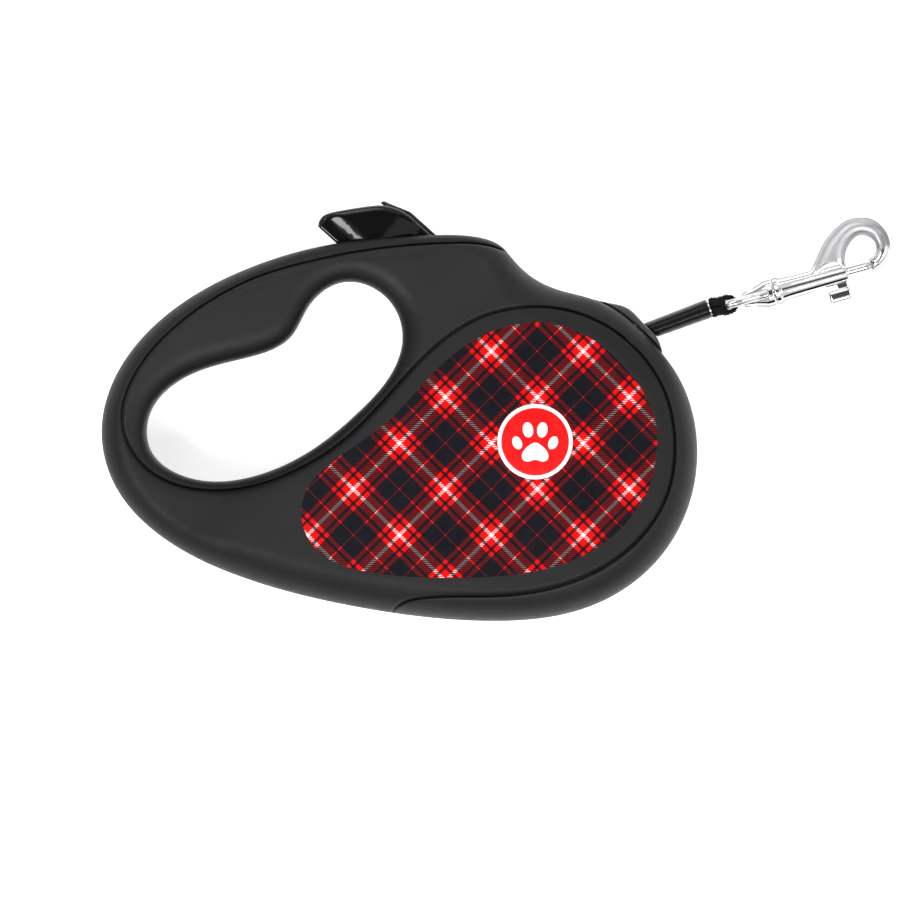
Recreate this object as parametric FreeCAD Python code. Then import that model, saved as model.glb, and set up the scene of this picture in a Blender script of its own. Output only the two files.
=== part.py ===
import FreeCAD, Part
import math
import os
from FreeCAD import Vector

# Retractable tape leash, lying flat on its side.
# +X runs from the handle towards the nozzle, +Y from the belly towards the brake button,
# +Z up through the thickness.  The origin is on the spool axis, in the resting face.  Millimetres.

# ---- driving dimensions -------------------------------------------------------------------------
THICK = 34.0            # casing thickness at the spool
WALL = 2.0              # wall of the covers and of the housing shells
HANDLE_DROP = 3.5       # how far each face steps down from the spool drum to the handle
DRUM_ANGLE = 43.0       # direction of the line that parts drum and handle, degrees above +X
DRUM_EDGE = 38.5        # the step starts this far from the spool axis ...
HANDLE_EDGE = 62.0      # ... and ends here
EDGE_RADIUS = 4.5       # rounding of the casing's outer edges
MID_Z = THICK / 2       # parting plane of the two halves, and middle of the tape
LABEL_THICK = 0.4
BADGE_RADIUS = 10.5
BADGE_THICK = 0.3
BADGE_CENTRE = (-1.5, 5.7)

SPOOL_RADIUS = 38.5     # flanges of the spool
DRUM_RADIUS = 40.0      # chamber that the spool turns in
AXLE_RADIUS = 4.0
FIT = 0.05              # radial clearance of a turning or sliding fit
HUB_RADIUS = 13.0       # core that the tape is wound on
TAPE_WIDTH = 10.0
TAPE_THICK = 0.75
TAPE_PITCH = 0.8        # radial step of one turn of tape
TAPE_OUTER = 37.4       # middle of the outermost turn
TAPE_TURNS = 30
SPRING_CUP_RADIUS = 34.0
SPRING_PITCH = 2.2
SPRING_TURNS = 12
SPRING_THICK = 0.3
TEETH = 12
TOOTH_RADIUS = 37.0
ROOT_RADIUS = 31.0
TOOTH_GAP = 18.0        # angular width of a tooth gap, degrees
GAP_ANGLE = 116.0       # middle of the gap that the pawl drops into

Z_SPRING_COVER = 4.5    # the spool's layers, from the back to the front
Z_SPRING_CUP = 5.3
Z_DIVIDER = 10.6
Z_TAPE = 11.8
Z_FRONT_FLANGE = 22.2
Z_TEETH = 23.4
Z_TEETH_TOP = 26.6

LEASH_ANGLE = 20.5      # direction in which the leash leaves, degrees above +X
HOOK_ANGLE = 15.5       # direction of the snap hook's barrel
SLEEVE_START = (31.9, 37.3)
SLEEVE_LENGTH = 16.2
TAPE_BEND = (26.5, 35.24)
ROLLER_RADIUS = 2.0
ROLLER_CENTRE = (26.17, 37.85)

BUTTON_ANGLE = -42.0    # direction in which the brake button is pressed
BUTTON_HALF = 7.5       # half its width along Z
BUTTON_TRAVEL = 4.5
LOCK_TRAVEL = 3.0
BUTTON_SKIRT = (-78.3, -62.6)   # where the button's rear and front walls end, along its stroke
LOCK_FOOT = -63.6               # front end of the lock slider, along the same line
LOCK_TONGUE = -69.5             # front of the tongue that keeps the slider in the button
LOCK_STEP = -74.4               # front of the thumb piece, which slides in a pocket of the button
LOCK_POCKET = 24.0              # floor of that pocket, across the stroke
LOCK_HALF = 4.0                 # half the slider's width along Z
BUTTON_TOP = 26.8               # the button's flat crest, across the stroke
LEVER_PIVOT = (-32.0, 38.0)
LEVER_FOOT = (-24.0, 52.0)
PAWL_TIP = (-14.0, 37.4)
Z_LEVER = 23.8
LEVER_THICK = 2.4

HOOK_ORIGIN = (65.5, 47.6)   # rear end of the snap hook's barrel
BARREL_RADIUS = 3.0
BARREL_LENGTH = 21.4
BOLT_RADIUS = 1.25
GATE_TRAVEL = 5.5
GATE_STEM = (17.4, 20.4)     # the thumb pad's stem, along the barrel
HOOK_THICK = 5.4
BOW_ROUNDING = 1.5
RIVET_RADIUS = 1.5
RIVET_HEAD = 2.1
RING_BAR = -13.2             # the eye's bar, which the webbing goes round, along the hook's line
RING_WIRE = 1.35
RING_HALF = 6.6              # half the eye's width at the middle of its wire

NOZZLE_Z = 8.0               # the nozzle's and the screws' distance from each face
ROLLER_AXLE_RADIUS = 1.0
ROLLER_AXLE_Z = 9.5
LEVER_PIN_RADIUS = 1.5
LEVER_PIN_Z = (14.0, 28.8)

SCREWS = [(-84, -18), (-40, -30), (-12, 52), (-98, 34.5), (-73, 46), (-106, -10.5)]
BOSS_RADIUS = 3.2
SCREW_RADIUS = 1.5
SCREW_HEAD_RADIUS = 2.75
SCREW_HEAD_Z = 6.0
SCREW_HEAD_THICK = 2.0
SCREW_END_Z = 24.0

# outline of the casing, clockwise from the rear of the handle
OUTLINE = [(-122.6, 9), (-119.2, 23), (-106.1, 39.8), (-84, 53.2), (-56, 61.2), (-30, 63.4), (-15, 61.6),
           (-6, 54.6), (2, 49.4), (16, 45), (30, 34.8), (39.6, 22), (43.9, 4), (42, -10.6), (32.8, -27.4),
           (14.8, -40), (-14.8, -44.4), (-50.4, -40.6), (-84, -31.9), (-106.4, -20.4), (-118.6, -7)]
FINGER_HOLE = [(-38.5, 34), (-42.2, 45.2), (-54.6, 50.5), (-64.7, 43.9), (-69.6, 35.4), (-84, 28.8),
               (-100.8, 23), (-109.4, 13.5), (-109.2, 3.4), (-98, -4.5), (-84, -4.8), (-66.1, 2),
               (-50.1, 14.6), (-40.6, 26.5)]
# line where cover and housing meet, from the nose of the neck round the finger hole and the drum
SEAM = [(-2, 53.6), (-7.6, 58.4), (-14, 60.5), (-28, 61), (-44.8, 59.6), (-61.6, 56.6), (-78.4, 51.8),
        (-95, 43), (-110.3, 28.6), (-116.5, 11.8), (-110.5, -1), (-91, -7.8), (-70, -3), (-53, 7.8),
        (-32.2, 29.7), (-17, 40.4), (-1.4, 43.4), (14, 40.3), (26.6, 31.6), (34.4, 20.2), (37.5, 4),
        (35.3, -9.2), (24.5, -24.4), (9.8, -33), (-11.2, -37.2), (-32.2, -37.8), (-38.5, -39.4),
        (-43.5, -44.5)]
OUTSIDE = [(-60, -60), (-135, -40), (-140, 40), (-90, 75), (0, 75)]
LABEL = [(-1.4, 38.4), (13.2, 35.6), (21.3, 27.2), (29.1, 18.8), (32.8, 2), (28, -9.8), (16.8, -22.7),
         (0, -29.7), (-20, -32.2), (-50.4, -30.2), (-62.5, -25.5), (-66.6, -15), (-61.5, -3.5), (-46.2, 7.6),
         (-32, 21), (-18, 34.4)]


# ---- helpers ------------------------------------------------------------------------------------
def direction(angle):
    return Vector(math.cos(math.radians(angle)), math.sin(math.radians(angle)), 0)


def along(origin, angle, u, v, z=0.0):
    """Point at u along and v to the left of a line through origin at the angle above +X."""
    forward = direction(angle)
    left = direction(angle + 90)
    return Vector(origin[0], origin[1], z) + forward * u + left * v


def closed_curve(points):
    """One smooth closed curve through the points."""
    curve = Part.BSplineCurve()
    curve.interpolate(Points=[Vector(x, y, 0) for x, y in points], PeriodicFlag=True)
    return curve.toShape()


def open_curve(points):
    curve = Part.BSplineCurve()
    curve.interpolate(Points=[Vector(x, y, 0) for x, y in points])
    return curve.toShape()


def grown(points, distance, count=60):
    """The smooth closed curve through the points, moved outwards by the distance."""
    ring = closed_curve(points).discretize(count + 1)[:-1]
    area = sum(ring[i - 1].x * ring[i].y - ring[i].x * ring[i - 1].y for i in range(count))
    side = 1 if area > 0 else -1
    moved = []
    for i in range(count):
        tangent = ring[(i + 1) % count] - ring[i - 1]
        tangent.normalize()
        moved.append((ring[i].x + side * distance * tangent.y, ring[i].y - side * distance * tangent.x))
    return moved


def prism(edges, z0, z1):
    """Straight solid over a closed outline, from z0 to z1."""
    face = Part.Face(Part.Wire(Part.__sortEdges__(edges)))
    face.translate(Vector(0, 0, z0))
    return face.extrude(Vector(0, 0, z1 - z0))


def smooth_prism(points, z0, z1):
    return prism([closed_curve(points)], z0, z1)


def polygon_prism(points, z0, z1):
    """Straight solid over a polygon of vectors or pairs."""
    corners = [Vector(p[0], p[1], z0) for p in points]
    return Part.Face(Part.makePolygon(corners + [corners[0]])).extrude(Vector(0, 0, z1 - z0))


def disc(radius, z0, z1, centre=(0, 0)):
    return Part.makeCylinder(radius, z1 - z0, Vector(centre[0], centre[1], z0))


def ring(outer, inner, z0, z1, centre=(0, 0)):
    return disc(outer, z0, z1, centre).cut(disc(inner, z0 - 1, z1 + 1, centre))


def slanted_rod(radius, origin, angle, u0, u1, z, v=0.0):
    """Round rod parallel to the resting face, from u0 to u1 along the line."""
    return Part.makeCylinder(radius, u1 - u0, along(origin, angle, u0, v, z), direction(angle))


def capsule(start, end, radius, z0, z1):
    """Bar with round ends between two points."""
    a = Vector(start[0], start[1], z0)
    b = Vector(end[0], end[1], z0)
    side = (b - a).cross(Vector(0, 0, 1)).normalize() * radius
    reach = (b - a).normalize() * radius
    edges = [Part.makeLine(a + side, b + side), Part.Arc(b + side, b + reach, b - side).toShape(),
             Part.makeLine(b - side, a - side), Part.Arc(a - side, a - reach, a + side).toShape()]
    return Part.Face(Part.Wire(edges)).extrude(Vector(0, 0, z1 - z0))


def rounded(shape, radius, wanted):
    """Fillet the edges for which wanted(edge, face normals) is true."""
    edges = []
    for edge in shape.Edges:
        middle = edge.valueAt((edge.FirstParameter + edge.LastParameter) / 2)
        faces = shape.ancestorsOfType(edge, Part.Face)
        normals = [face.normalAt(*face.Surface.parameter(middle)) for face in faces]
        if wanted(edge, normals):
            edges.append(edge)
    return shape.makeFillet(radius, edges)


def rim_edge(edge, normals):
    """An edge between a face that looks up or down and one that looks sideways."""
    level = [abs(normal.z) > 0.5 for normal in normals]
    return len(level) == 2 and level[0] != level[1]


def any_edge(edge, normals):
    return len(normals) == 2 and abs(normals[0].dot(normals[1])) < 0.9


def spiral(outer, inner_step, turns, start_angle, width, z, way):
    """Band wound in semicircles that shrink by inner_step a turn; way is +1 or -1 for the sense."""
    def point(half_turn, radius):
        return direction(start_angle + way * 180 * half_turn) * radius

    def band_edge(offset):
        edges = []
        for half in range(2 * turns):
            first = outer - inner_step / 2 * half + offset
            last = first - inner_step / 2
            start = point(half, first)
            end = point(half + 1, last)
            centre = (start + end) * 0.5
            crown = centre + direction(start_angle + way * (180 * half + 90)) * (start - end).Length * 0.5
            edges.append(Part.Arc(start, crown, end).toShape())
        return edges

    outside = band_edge(width / 2)
    inside = band_edge(-width / 2)
    ends = [Part.makeLine(point(0, outer + width / 2), point(0, outer - width / 2)),
            Part.makeLine(point(2 * turns, outer - inner_step * turns + width / 2),
                          point(2 * turns, outer - inner_step * turns - width / 2))]
    return prism(outside + inside + ends, z[0], z[1])


def export(shape, name):
    solids = shape.Solids
    if not shape.isValid() or not solids:
        print("BAD SHAPE", name, shape.isValid(), len(solids))
    print(f"{name:18s} solids {len(solids)}  volume {shape.Volume:10.1f}")
    if len(solids) == 1:
        shape = solids[0]
    shape.exportStep(f"parts/{name}.step")


# ---- casing -------------------------------------------------------------------------------------
def thickness_profile(inset):
    """Slab whose faces step down from the drum to the handle along one slanted line."""
    reach = 200.0
    run = direction(DRUM_ANGLE)
    across = direction(DRUM_ANGLE + 90)

    def point(distance, z):
        return across * distance + Vector(0, 0, z) - run * reach

    def step(z_drum, z_handle):
        middle = (DRUM_EDGE + HANDLE_EDGE) / 2
        curve = Part.BezierCurve()
        curve.setPoles([point(DRUM_EDGE, z_drum), point(middle, z_drum),
                        point(middle, z_handle), point(HANDLE_EDGE, z_handle)])
        return curve.toShape()

    low = inset
    high = THICK - inset
    edges = [Part.makeLine(point(-reach, low), point(DRUM_EDGE, low)), step(low, low + HANDLE_DROP),
             Part.makeLine(point(HANDLE_EDGE, low + HANDLE_DROP), point(reach, low + HANDLE_DROP)),
             Part.makeLine(point(reach, low + HANDLE_DROP), point(reach, high - HANDLE_DROP)),
             Part.makeLine(point(reach, high - HANDLE_DROP), point(HANDLE_EDGE, high - HANDLE_DROP)),
             step(high, high - HANDLE_DROP),
             Part.makeLine(point(DRUM_EDGE, high), point(-reach, high)),
             Part.makeLine(point(-reach, high), point(-reach, low))]
    return Part.Face(Part.Wire(Part.__sortEdges__(edges))).extrude(run * 2 * reach)


def casing_form(outline, inset, radius, hole=None):
    form = smooth_prism(outline, -1, THICK + 1)
    if hole:
        form = form.cut(smooth_prism(hole, -2, THICK + 2))
    form = form.common(thickness_profile(inset))
    return rounded(form, radius, rim_edge) if radius else form


def button_point(s, t):
    """Point s along the brake button's stroke and t across it."""
    return along((0, 0), BUTTON_ANGLE, s, t)


def button_region(points, z0, z1):
    return polygon_prism([button_point(s, t) for s, t in points], z0, z1)


def nozzle_block():
    """The wedge that guides the tape out, with a root that sits in the housing."""
    back = [(34.2, 29.6), (30.6, 28.2), (14.6, 41.2), (15.4, 45.4)]
    edges = [Part.makeLine(Vector(*back[i], 0), Vector(*back[i + 1], 0)) for i in range(3)]
    edges.append(open_curve([back[3], (20.2, 44.1), (24.8, 42.9), (27.4, 41.0), (32.8, 32.8), back[0]]))
    return prism(edges, NOZZLE_Z, THICK - NOZZLE_Z)


def tape_slot():
    """Space in the nozzle for the tape and the guide roller."""
    low = MID_Z - TAPE_WIDTH / 2 - 0.5
    high = MID_Z + TAPE_WIDTH / 2 + 0.5
    way_in = polygon_prism([(10, 34.6), (26.4, 33.2), (26.4, 37.6), (10, 39.4)], low, high)
    corners = [(-2.5, -1.9), (12, -1.9), (12, 1.9), (-2.5, 1.9)]
    way_out = polygon_prism([along(TAPE_BEND, LEASH_ANGLE, u, v) for u, v in corners], low, high)
    return way_in.fuse(way_out).fuse(disc(ROLLER_RADIUS + 0.5, low, high, ROLLER_CENTRE))


def screw(x, y):
    """Pan-head screw with a cross recess, its head towards the back."""
    head_top = SCREW_HEAD_Z + SCREW_HEAD_THICK
    head = disc(SCREW_HEAD_RADIUS, SCREW_HEAD_Z, head_top, (x, y))
    slot = Part.makeBox(3.6, 0.7, 0.8, Vector(x - 1.8, y - 0.35, SCREW_HEAD_Z))
    cross = Part.makeBox(0.7, 3.6, 0.8, Vector(x - 0.35, y - 1.8, SCREW_HEAD_Z))
    return head.cut(slot).cut(cross).fuse(disc(SCREW_RADIUS, head_top, SCREW_END_Z, (x, y)))


def screw_hole(x, y):
    """Counterbore, clearance hole in the back half and a close hole in the front half."""
    counterbore = disc(SCREW_HEAD_RADIUS + 0.2, -1, SCREW_HEAD_Z + SCREW_HEAD_THICK, (x, y))
    clearance = disc(SCREW_RADIUS + 0.2, SCREW_HEAD_Z + 1, MID_Z, (x, y))
    thread = disc(SCREW_RADIUS, MID_Z - 1, SCREW_END_Z, (x, y))
    return counterbore.fuse(clearance).fuse(thread)


full = casing_form(OUTLINE, 0, EDGE_RADIUS, FINGER_HOLE)
core = casing_form(grown(OUTLINE, -WALL), WALL, EDGE_RADIUS - 1).cut(smooth_prism(FINGER_HOLE, -2, THICK + 2))
seam_line = open_curve(SEAM)
outside_path = [SEAM[-1]] + OUTSIDE + [SEAM[0]]
outside_edges = [Part.makeLine(Vector(*outside_path[i], 0), Vector(*outside_path[i + 1], 0))
                 for i in range(len(outside_path) - 1)]
cover_region = prism([seam_line] + outside_edges, -2, THICK + 2)
covers = full.cut(core).common(cover_region)

chamber = disc(DRUM_RADIUS, 2 * WALL, THICK - 2 * WALL)
hollow = casing_form(grown(OUTLINE, -2 * WALL), 2 * WALL, 0)
hollow = hollow.cut(smooth_prism(grown(FINGER_HOLE, 2 * WALL), -2, THICK + 2))
bosses = Part.makeCompound([disc(BOSS_RADIUS, 0, THICK, place) for place in SCREWS])
neck = polygon_prism([(0, 0), (60, 40), (60, 80), (-60, 80), (-60, 50)], -1, THICK + 1)
drum_wall = ring(DRUM_RADIUS + 1.6, DRUM_RADIUS, 0, THICK).cut(neck)
lever_boss = disc(3.0, 0, THICK, LEVER_PIVOT)
axle_boss_back = disc(8.0, 0, Z_SPRING_COVER - 0.3)
axle_boss_front = disc(8.0, THICK - 2 * WALL - 0.6, THICK)

cavity = hollow.cut(bosses).cut(drum_wall).cut(lever_boss).fuse(chamber)
cavity = cavity.cut(axle_boss_back).cut(axle_boss_front)
lever_space = disc(4.2, Z_LEVER - 0.3, Z_LEVER + LEVER_THICK + 0.3, LEVER_PIVOT)
button_rear = BUTTON_SKIRT[0] + BUTTON_TRAVEL + 0.25
button_front = BUTTON_SKIRT[1] + BUTTON_TRAVEL + 0.25
button_low = 7.1
button_high = BUTTON_TOP + 0.3
button_opening = button_region([(-100, button_low), (button_rear, button_low), (button_front, button_high),
                                (-100, button_high)], MID_Z - BUTTON_HALF - 0.3, MID_Z + BUTTON_HALF + 0.3)
lock_front = LOCK_FOOT + BUTTON_TRAVEL + LOCK_TRAVEL + 0.6
lock_opening = button_region([(-100, 26), (lock_front, 26), (lock_front, 28.4), (-100, 28.4)],
                             MID_Z - LOCK_HALF - 0.4, MID_Z + LOCK_HALF + 0.4)
axle = disc(AXLE_RADIUS, WALL + 0.5, THICK - WALL - 0.5)
roller_axle = disc(ROLLER_AXLE_RADIUS, ROLLER_AXLE_Z, THICK - ROLLER_AXLE_Z, ROLLER_CENTRE)
lever_pin = disc(LEVER_PIN_RADIUS, LEVER_PIN_Z[0], LEVER_PIN_Z[1], LEVER_PIVOT)
nozzle = nozzle_block()

housing = full.cut(covers).cut(cavity)
for cutter in (nozzle, tape_slot(), button_opening, lock_opening, lever_space, axle, lever_pin):
    housing = housing.cut(cutter)
for place in SCREWS:
    housing = housing.cut(screw_hole(*place))
covers = covers.cut(button_opening).cut(lock_opening).cut(nozzle)

front_half = Part.makeBox(400, 300, THICK, Vector(-200, -150, MID_Z))
back_half = Part.makeBox(400, 300, THICK, Vector(-200, -150, MID_Z - THICK))
label_front = smooth_prism(LABEL, THICK - LABEL_THICK, THICK)
label_back = smooth_prism(LABEL, 0, LABEL_THICK)


def largest(shape):
    """The shape without loose crumbs."""
    return max(shape.Solids, key=lambda solid: solid.Volume)


def make_casing():
    export(largest(housing.common(front_half)), "housing_front")
    export(largest(housing.common(back_half)), "housing_back")
    export(largest(covers.common(front_half).cut(label_front)), "cover_front")
    export(largest(covers.common(back_half).cut(label_back)), "cover_back")
    export(label_front, "label_front")
    export(label_back, "label_back")
    export(disc(BADGE_RADIUS, THICK, THICK + BADGE_THICK, BADGE_CENTRE), "badge")
    export(axle, "spool_axle")
    export(largest(nozzle.cut(tape_slot()).cut(roller_axle)), "nozzle")
    export(roller_axle, "roller_axle")
    export(lever_pin, "lever_pin")
    export(Part.makeCompound([screw(*place) for place in SCREWS]), "case_screws")


# ---- spool --------------------------------------------------------------------------------------
def make_spool():
    bore = disc(AXLE_RADIUS + FIT, 0, THICK)
    hub = disc(HUB_RADIUS - 0.2, Z_TAPE, Z_FRONT_FLANGE)
    divider = disc(SPOOL_RADIUS, Z_DIVIDER, Z_TAPE)
    cup = ring(SPRING_CUP_RADIUS + 2, SPRING_CUP_RADIUS, Z_SPRING_CUP, Z_DIVIDER)
    export(hub.fuse(divider).fuse(cup).cut(bore), "spool")

    pitch = 360.0 / TEETH
    wheel = disc(SPOOL_RADIUS, Z_FRONT_FLANGE, Z_TEETH).fuse(disc(8.0, Z_TEETH, Z_TEETH_TOP))
    crown = ring(TOOTH_RADIUS, ROOT_RADIUS - 2.5, Z_TEETH, Z_TEETH_TOP)
    for tooth in range(TEETH):
        middle = GAP_ANGLE + tooth * pitch
        corners = [direction(middle + way * (TOOTH_GAP / 2 + flare)) * radius
                   for way, flare, radius in ((-1, -2, ROOT_RADIUS), (1, -2, ROOT_RADIUS),
                                              (1, 1, TOOTH_RADIUS + 2), (-1, 1, TOOTH_RADIUS + 2))]
        crown = crown.cut(polygon_prism(corners, Z_TEETH, Z_TEETH_TOP + 1))
    reach = ROOT_RADIUS - 1
    spoke = polygon_prism([(6, -1.2), (reach, -1.2), (reach, 1.2), (6, 1.2)], Z_TEETH, Z_TEETH_TOP - 1)
    for turn in range(6):
        wheel = wheel.fuse(spoke.rotated(Vector(), Vector(0, 0, 1), 60 * turn))
    export(wheel.fuse(crown).cut(bore).removeSplitter(), "ratchet_flange")
    export(ring(SPRING_CUP_RADIUS + 2, 8.6, Z_SPRING_COVER, Z_SPRING_CUP), "spring_cover")

    tape_low = MID_Z - TAPE_WIDTH / 2
    start = math.degrees(math.atan2(TAPE_BEND[1], TAPE_BEND[0])) + math.degrees(
        math.acos(TAPE_OUTER / math.hypot(*TAPE_BEND)))
    tape = spiral(TAPE_OUTER, TAPE_PITCH, TAPE_TURNS, start, TAPE_THICK, (tape_low, tape_low + TAPE_WIDTH), 1)
    export(tape, "tape_wound")
    spring = spiral(SPRING_CUP_RADIUS - 0.4, SPRING_PITCH, SPRING_TURNS, 20, SPRING_THICK,
                    (Z_SPRING_CUP + 0.4, Z_DIVIDER - 0.4), 1)
    export(spring, "power_spring")

    tangent = direction(start) * TAPE_OUTER
    bend = Vector(*TAPE_BEND, 0)
    beyond = 5.2
    mouth = along(TAPE_BEND, LEASH_ANGLE, beyond, 0)
    half = TAPE_THICK / 2
    first = (bend - tangent).normalize()
    second = direction(LEASH_ANGLE)
    side1 = Vector(-first.y, first.x, 0) * half
    side2 = Vector(-second.y, second.x, 0) * half
    turn = math.atan2(second.y, second.x) - math.atan2(first.y, first.x)
    miter = half * math.tan(turn / 2)
    upper = bend + side1 - first * miter
    lower = bend - side1 + first * miter
    begin = tangent + first * 0.3
    run = polygon_prism([begin + side1, upper, mouth + side2, mouth - side2, lower, begin - side1],
                        tape_low, tape_low + TAPE_WIDTH)
    export(run, "tape_run")
    length = 0.0
    for half_turn in range(2 * TAPE_TURNS):
        length += math.pi * (TAPE_OUTER - TAPE_PITCH / 2 * (half_turn + 0.5))
    print(f"wound tape {length:.0f} mm, straight run {(bend - tangent).Length + beyond:.1f} mm")

    half = TAPE_WIDTH / 2 + 0.2
    bore = ROLLER_AXLE_RADIUS + FIT
    export(ring(ROLLER_RADIUS, bore, MID_Z - half, MID_Z + half, ROLLER_CENTRE), "guide_roller")


# ---- brake --------------------------------------------------------------------------------------
def make_brake():
    low = MID_Z - BUTTON_HALF
    high = MID_Z + BUTTON_HALF
    crest = [(-90.9, 8.4), (-91.2, 10.2), (-90.3, 12.4), (-88.1, 15.4), (-83.0, 21.6), (-80.8, 23.8),
             (-78.8, 25.1), (-75.8, 26.3), (-73.0, BUTTON_TOP)]
    top = open_curve([tuple(button_point(s, t))[:2] for s, t in crest])
    path = [crest[-1], (BUTTON_SKIRT[1], BUTTON_TOP), (BUTTON_SKIRT[0], 7.4), (-90.2, 7.4), crest[0]]
    lines = [Part.makeLine(button_point(*path[i]), button_point(*path[i + 1])) for i in range(len(path) - 1)]
    cap = rounded(prism([top] + lines, low, high), 1.2, rim_edge)
    inside = button_region([(-86.5, 10), (-82, 17), (-76, 22.5), (-74, 23.4), (-60, 23.4), (-76, 9.6)],
                           low + 1.8, high - 1.8)
    ledge = button_region([(-77, 17), (-55.0, 20), (-55.0, 24.8), (-70, 24.8)], MID_Z - 5.7, MID_Z + 5.7)
    plunger = button_region([(-59, 19.2), (-55.0, 20.2), (-55.0, 24.8), (-59, 24.8)],
                            MID_Z, Z_LEVER + LEVER_THICK)
    slot_end = LOCK_TONGUE + LOCK_TRAVEL + 0.5
    tongue_slot = button_region([(-76, 23), (slot_end, 23), (slot_end, 28), (-76, 28)],
                                MID_Z - 2.3, MID_Z + 2.3)
    pocket_end = LOCK_STEP + LOCK_TRAVEL + 0.2
    pocket = button_region([(-84, LOCK_POCKET), (pocket_end, LOCK_POCKET), (pocket_end, 28), (-84, 28)],
                           MID_Z - LOCK_HALF - 0.2, MID_Z + LOCK_HALF + 0.2)
    button = cap.cut(inside).fuse(ledge).fuse(plunger).cut(tongue_slot).cut(pocket)
    export(largest(button.removeSplitter()), "brake_button")

    sole = BUTTON_TOP + 0.05
    heel = LOCK_POCKET + 0.1
    strip = button_region([(-81.6, heel), (-81.6, 24.3), (-80.6, 25.3), (-74.2, 27.7), (LOCK_FOOT, 27.7),
                           (LOCK_FOOT, sole), (LOCK_STEP, sole), (LOCK_STEP, heel)],
                          MID_Z - LOCK_HALF, MID_Z + LOCK_HALF)
    tongue = button_region([(-75.2, heel), (LOCK_TONGUE, heel), (LOCK_TONGUE, 27.2), (-75.2, 27.2)],
                           MID_Z - 2.2, MID_Z + 2.2)
    export(strip.fuse(tongue).removeSplitter(), "lock_slider")

    top_z = Z_LEVER + LEVER_THICK
    arm = capsule(LEVER_PIVOT, LEVER_FOOT, 2.0, Z_LEVER, top_z)
    pawl = capsule(LEVER_PIVOT, PAWL_TIP, 1.6, Z_LEVER, top_z)
    eye = disc(3.6, Z_LEVER, top_z, LEVER_PIVOT)
    lever = arm.fuse(pawl).fuse(eye).cut(disc(LEVER_PIN_RADIUS + FIT, 0, THICK, LEVER_PIVOT))
    export(lever.removeSplitter(), "brake_lever")

    spring_z = MID_Z - 3.5
    spring = slanted_rod(2.0, (0, 0), BUTTON_ANGLE, -66.0, -57.0, spring_z, 15.0)
    bore = slanted_rod(1.4, (0, 0), BUTTON_ANGLE, -67.0, -56.0, spring_z, 15.0)
    export(spring.cut(bore), "button_spring")


# ---- leash end and snap hook --------------------------------------------------------------------
def oval_bar(origin, angle, u0, u1, half_v0, half_v1, half_z):
    """Flattened round bar along the leash, its height growing from half_v0 to half_v1."""
    sections = []
    for u, half_v in ((u0, half_v0), (u1, half_v1)):
        centre = along(origin, angle, u, 0, MID_Z)
        left = direction(angle + 90)
        flat = half_z - half_v
        up = Vector(0, 0, 1)
        corners = [centre + left * half_v + up * flat, centre + left * half_v - up * flat,
                   centre - left * half_v - up * flat, centre - left * half_v + up * flat]
        edges = [Part.makeLine(corners[0], corners[1]),
                 Part.Arc(corners[1], centre - up * half_z, corners[2]).toShape(),
                 Part.makeLine(corners[2], corners[3]),
                 Part.Arc(corners[3], centre + up * half_z, corners[0]).toShape()]
        sections.append(Part.Wire(edges))
    return Part.makeLoft(sections, True, True)


def hook_point(u, v, z=MID_Z):
    return along(HOOK_ORIGIN, HOOK_ANGLE, u, v, z)


def hook_rod(radius, u0, u1, v=0.0, z=MID_Z):
    return slanted_rod(radius, HOOK_ORIGIN, HOOK_ANGLE, u0, u1, z, v)


def hook_cone(r0, r1, u0, u1):
    return Part.makeCone(r0, r1, u1 - u0, hook_point(u0, 0), direction(HOOK_ANGLE))


def hook_box(u0, u1, v0, v1, half_z):
    corners = [hook_point(u0, v0, 0), hook_point(u1, v0, 0), hook_point(u1, v1, 0), hook_point(u0, v1, 0)]
    return polygon_prism(corners, MID_Z - half_z, MID_Z + half_z)


def make_leash_end():
    rim_end = SLEEVE_LENGTH + 0.5
    export(oval_bar(SLEEVE_START, LEASH_ANGLE, 0, SLEEVE_LENGTH, 2.45, 2.75, 6.0), "sleeve")
    export(oval_bar(SLEEVE_START, LEASH_ANGLE, SLEEVE_LENGTH, rim_end, 2.9, 2.9, 6.2), "sleeve_rim")
    bar = hook_point(RING_BAR, 0)
    start = along(SLEEVE_START, LEASH_ANGLE, rim_end, 0, 0)
    left = direction(LEASH_ANGLE + 90)
    centre = Vector(bar.x, bar.y, 0)
    reach = (centre - start).normalize()
    side = Vector(-reach.y, reach.x, 0)
    outer = 2.6
    edges = [Part.makeLine(start - left * 2.3, centre - side * outer),
             Part.Arc(centre - side * outer, centre + reach * outer, centre + side * outer).toShape(),
             Part.makeLine(centre + side * outer, start + left * 2.3),
             Part.makeLine(start + left * 2.3, start - left * 2.3)]
    loop = prism(edges, MID_Z - TAPE_WIDTH / 2 + 0.2, MID_Z + TAPE_WIDTH / 2 - 0.2)
    loop = loop.cut(disc(RING_WIRE + 0.3, 0, THICK, (bar.x, bar.y)))
    export(loop, "webbing_loop")


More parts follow.
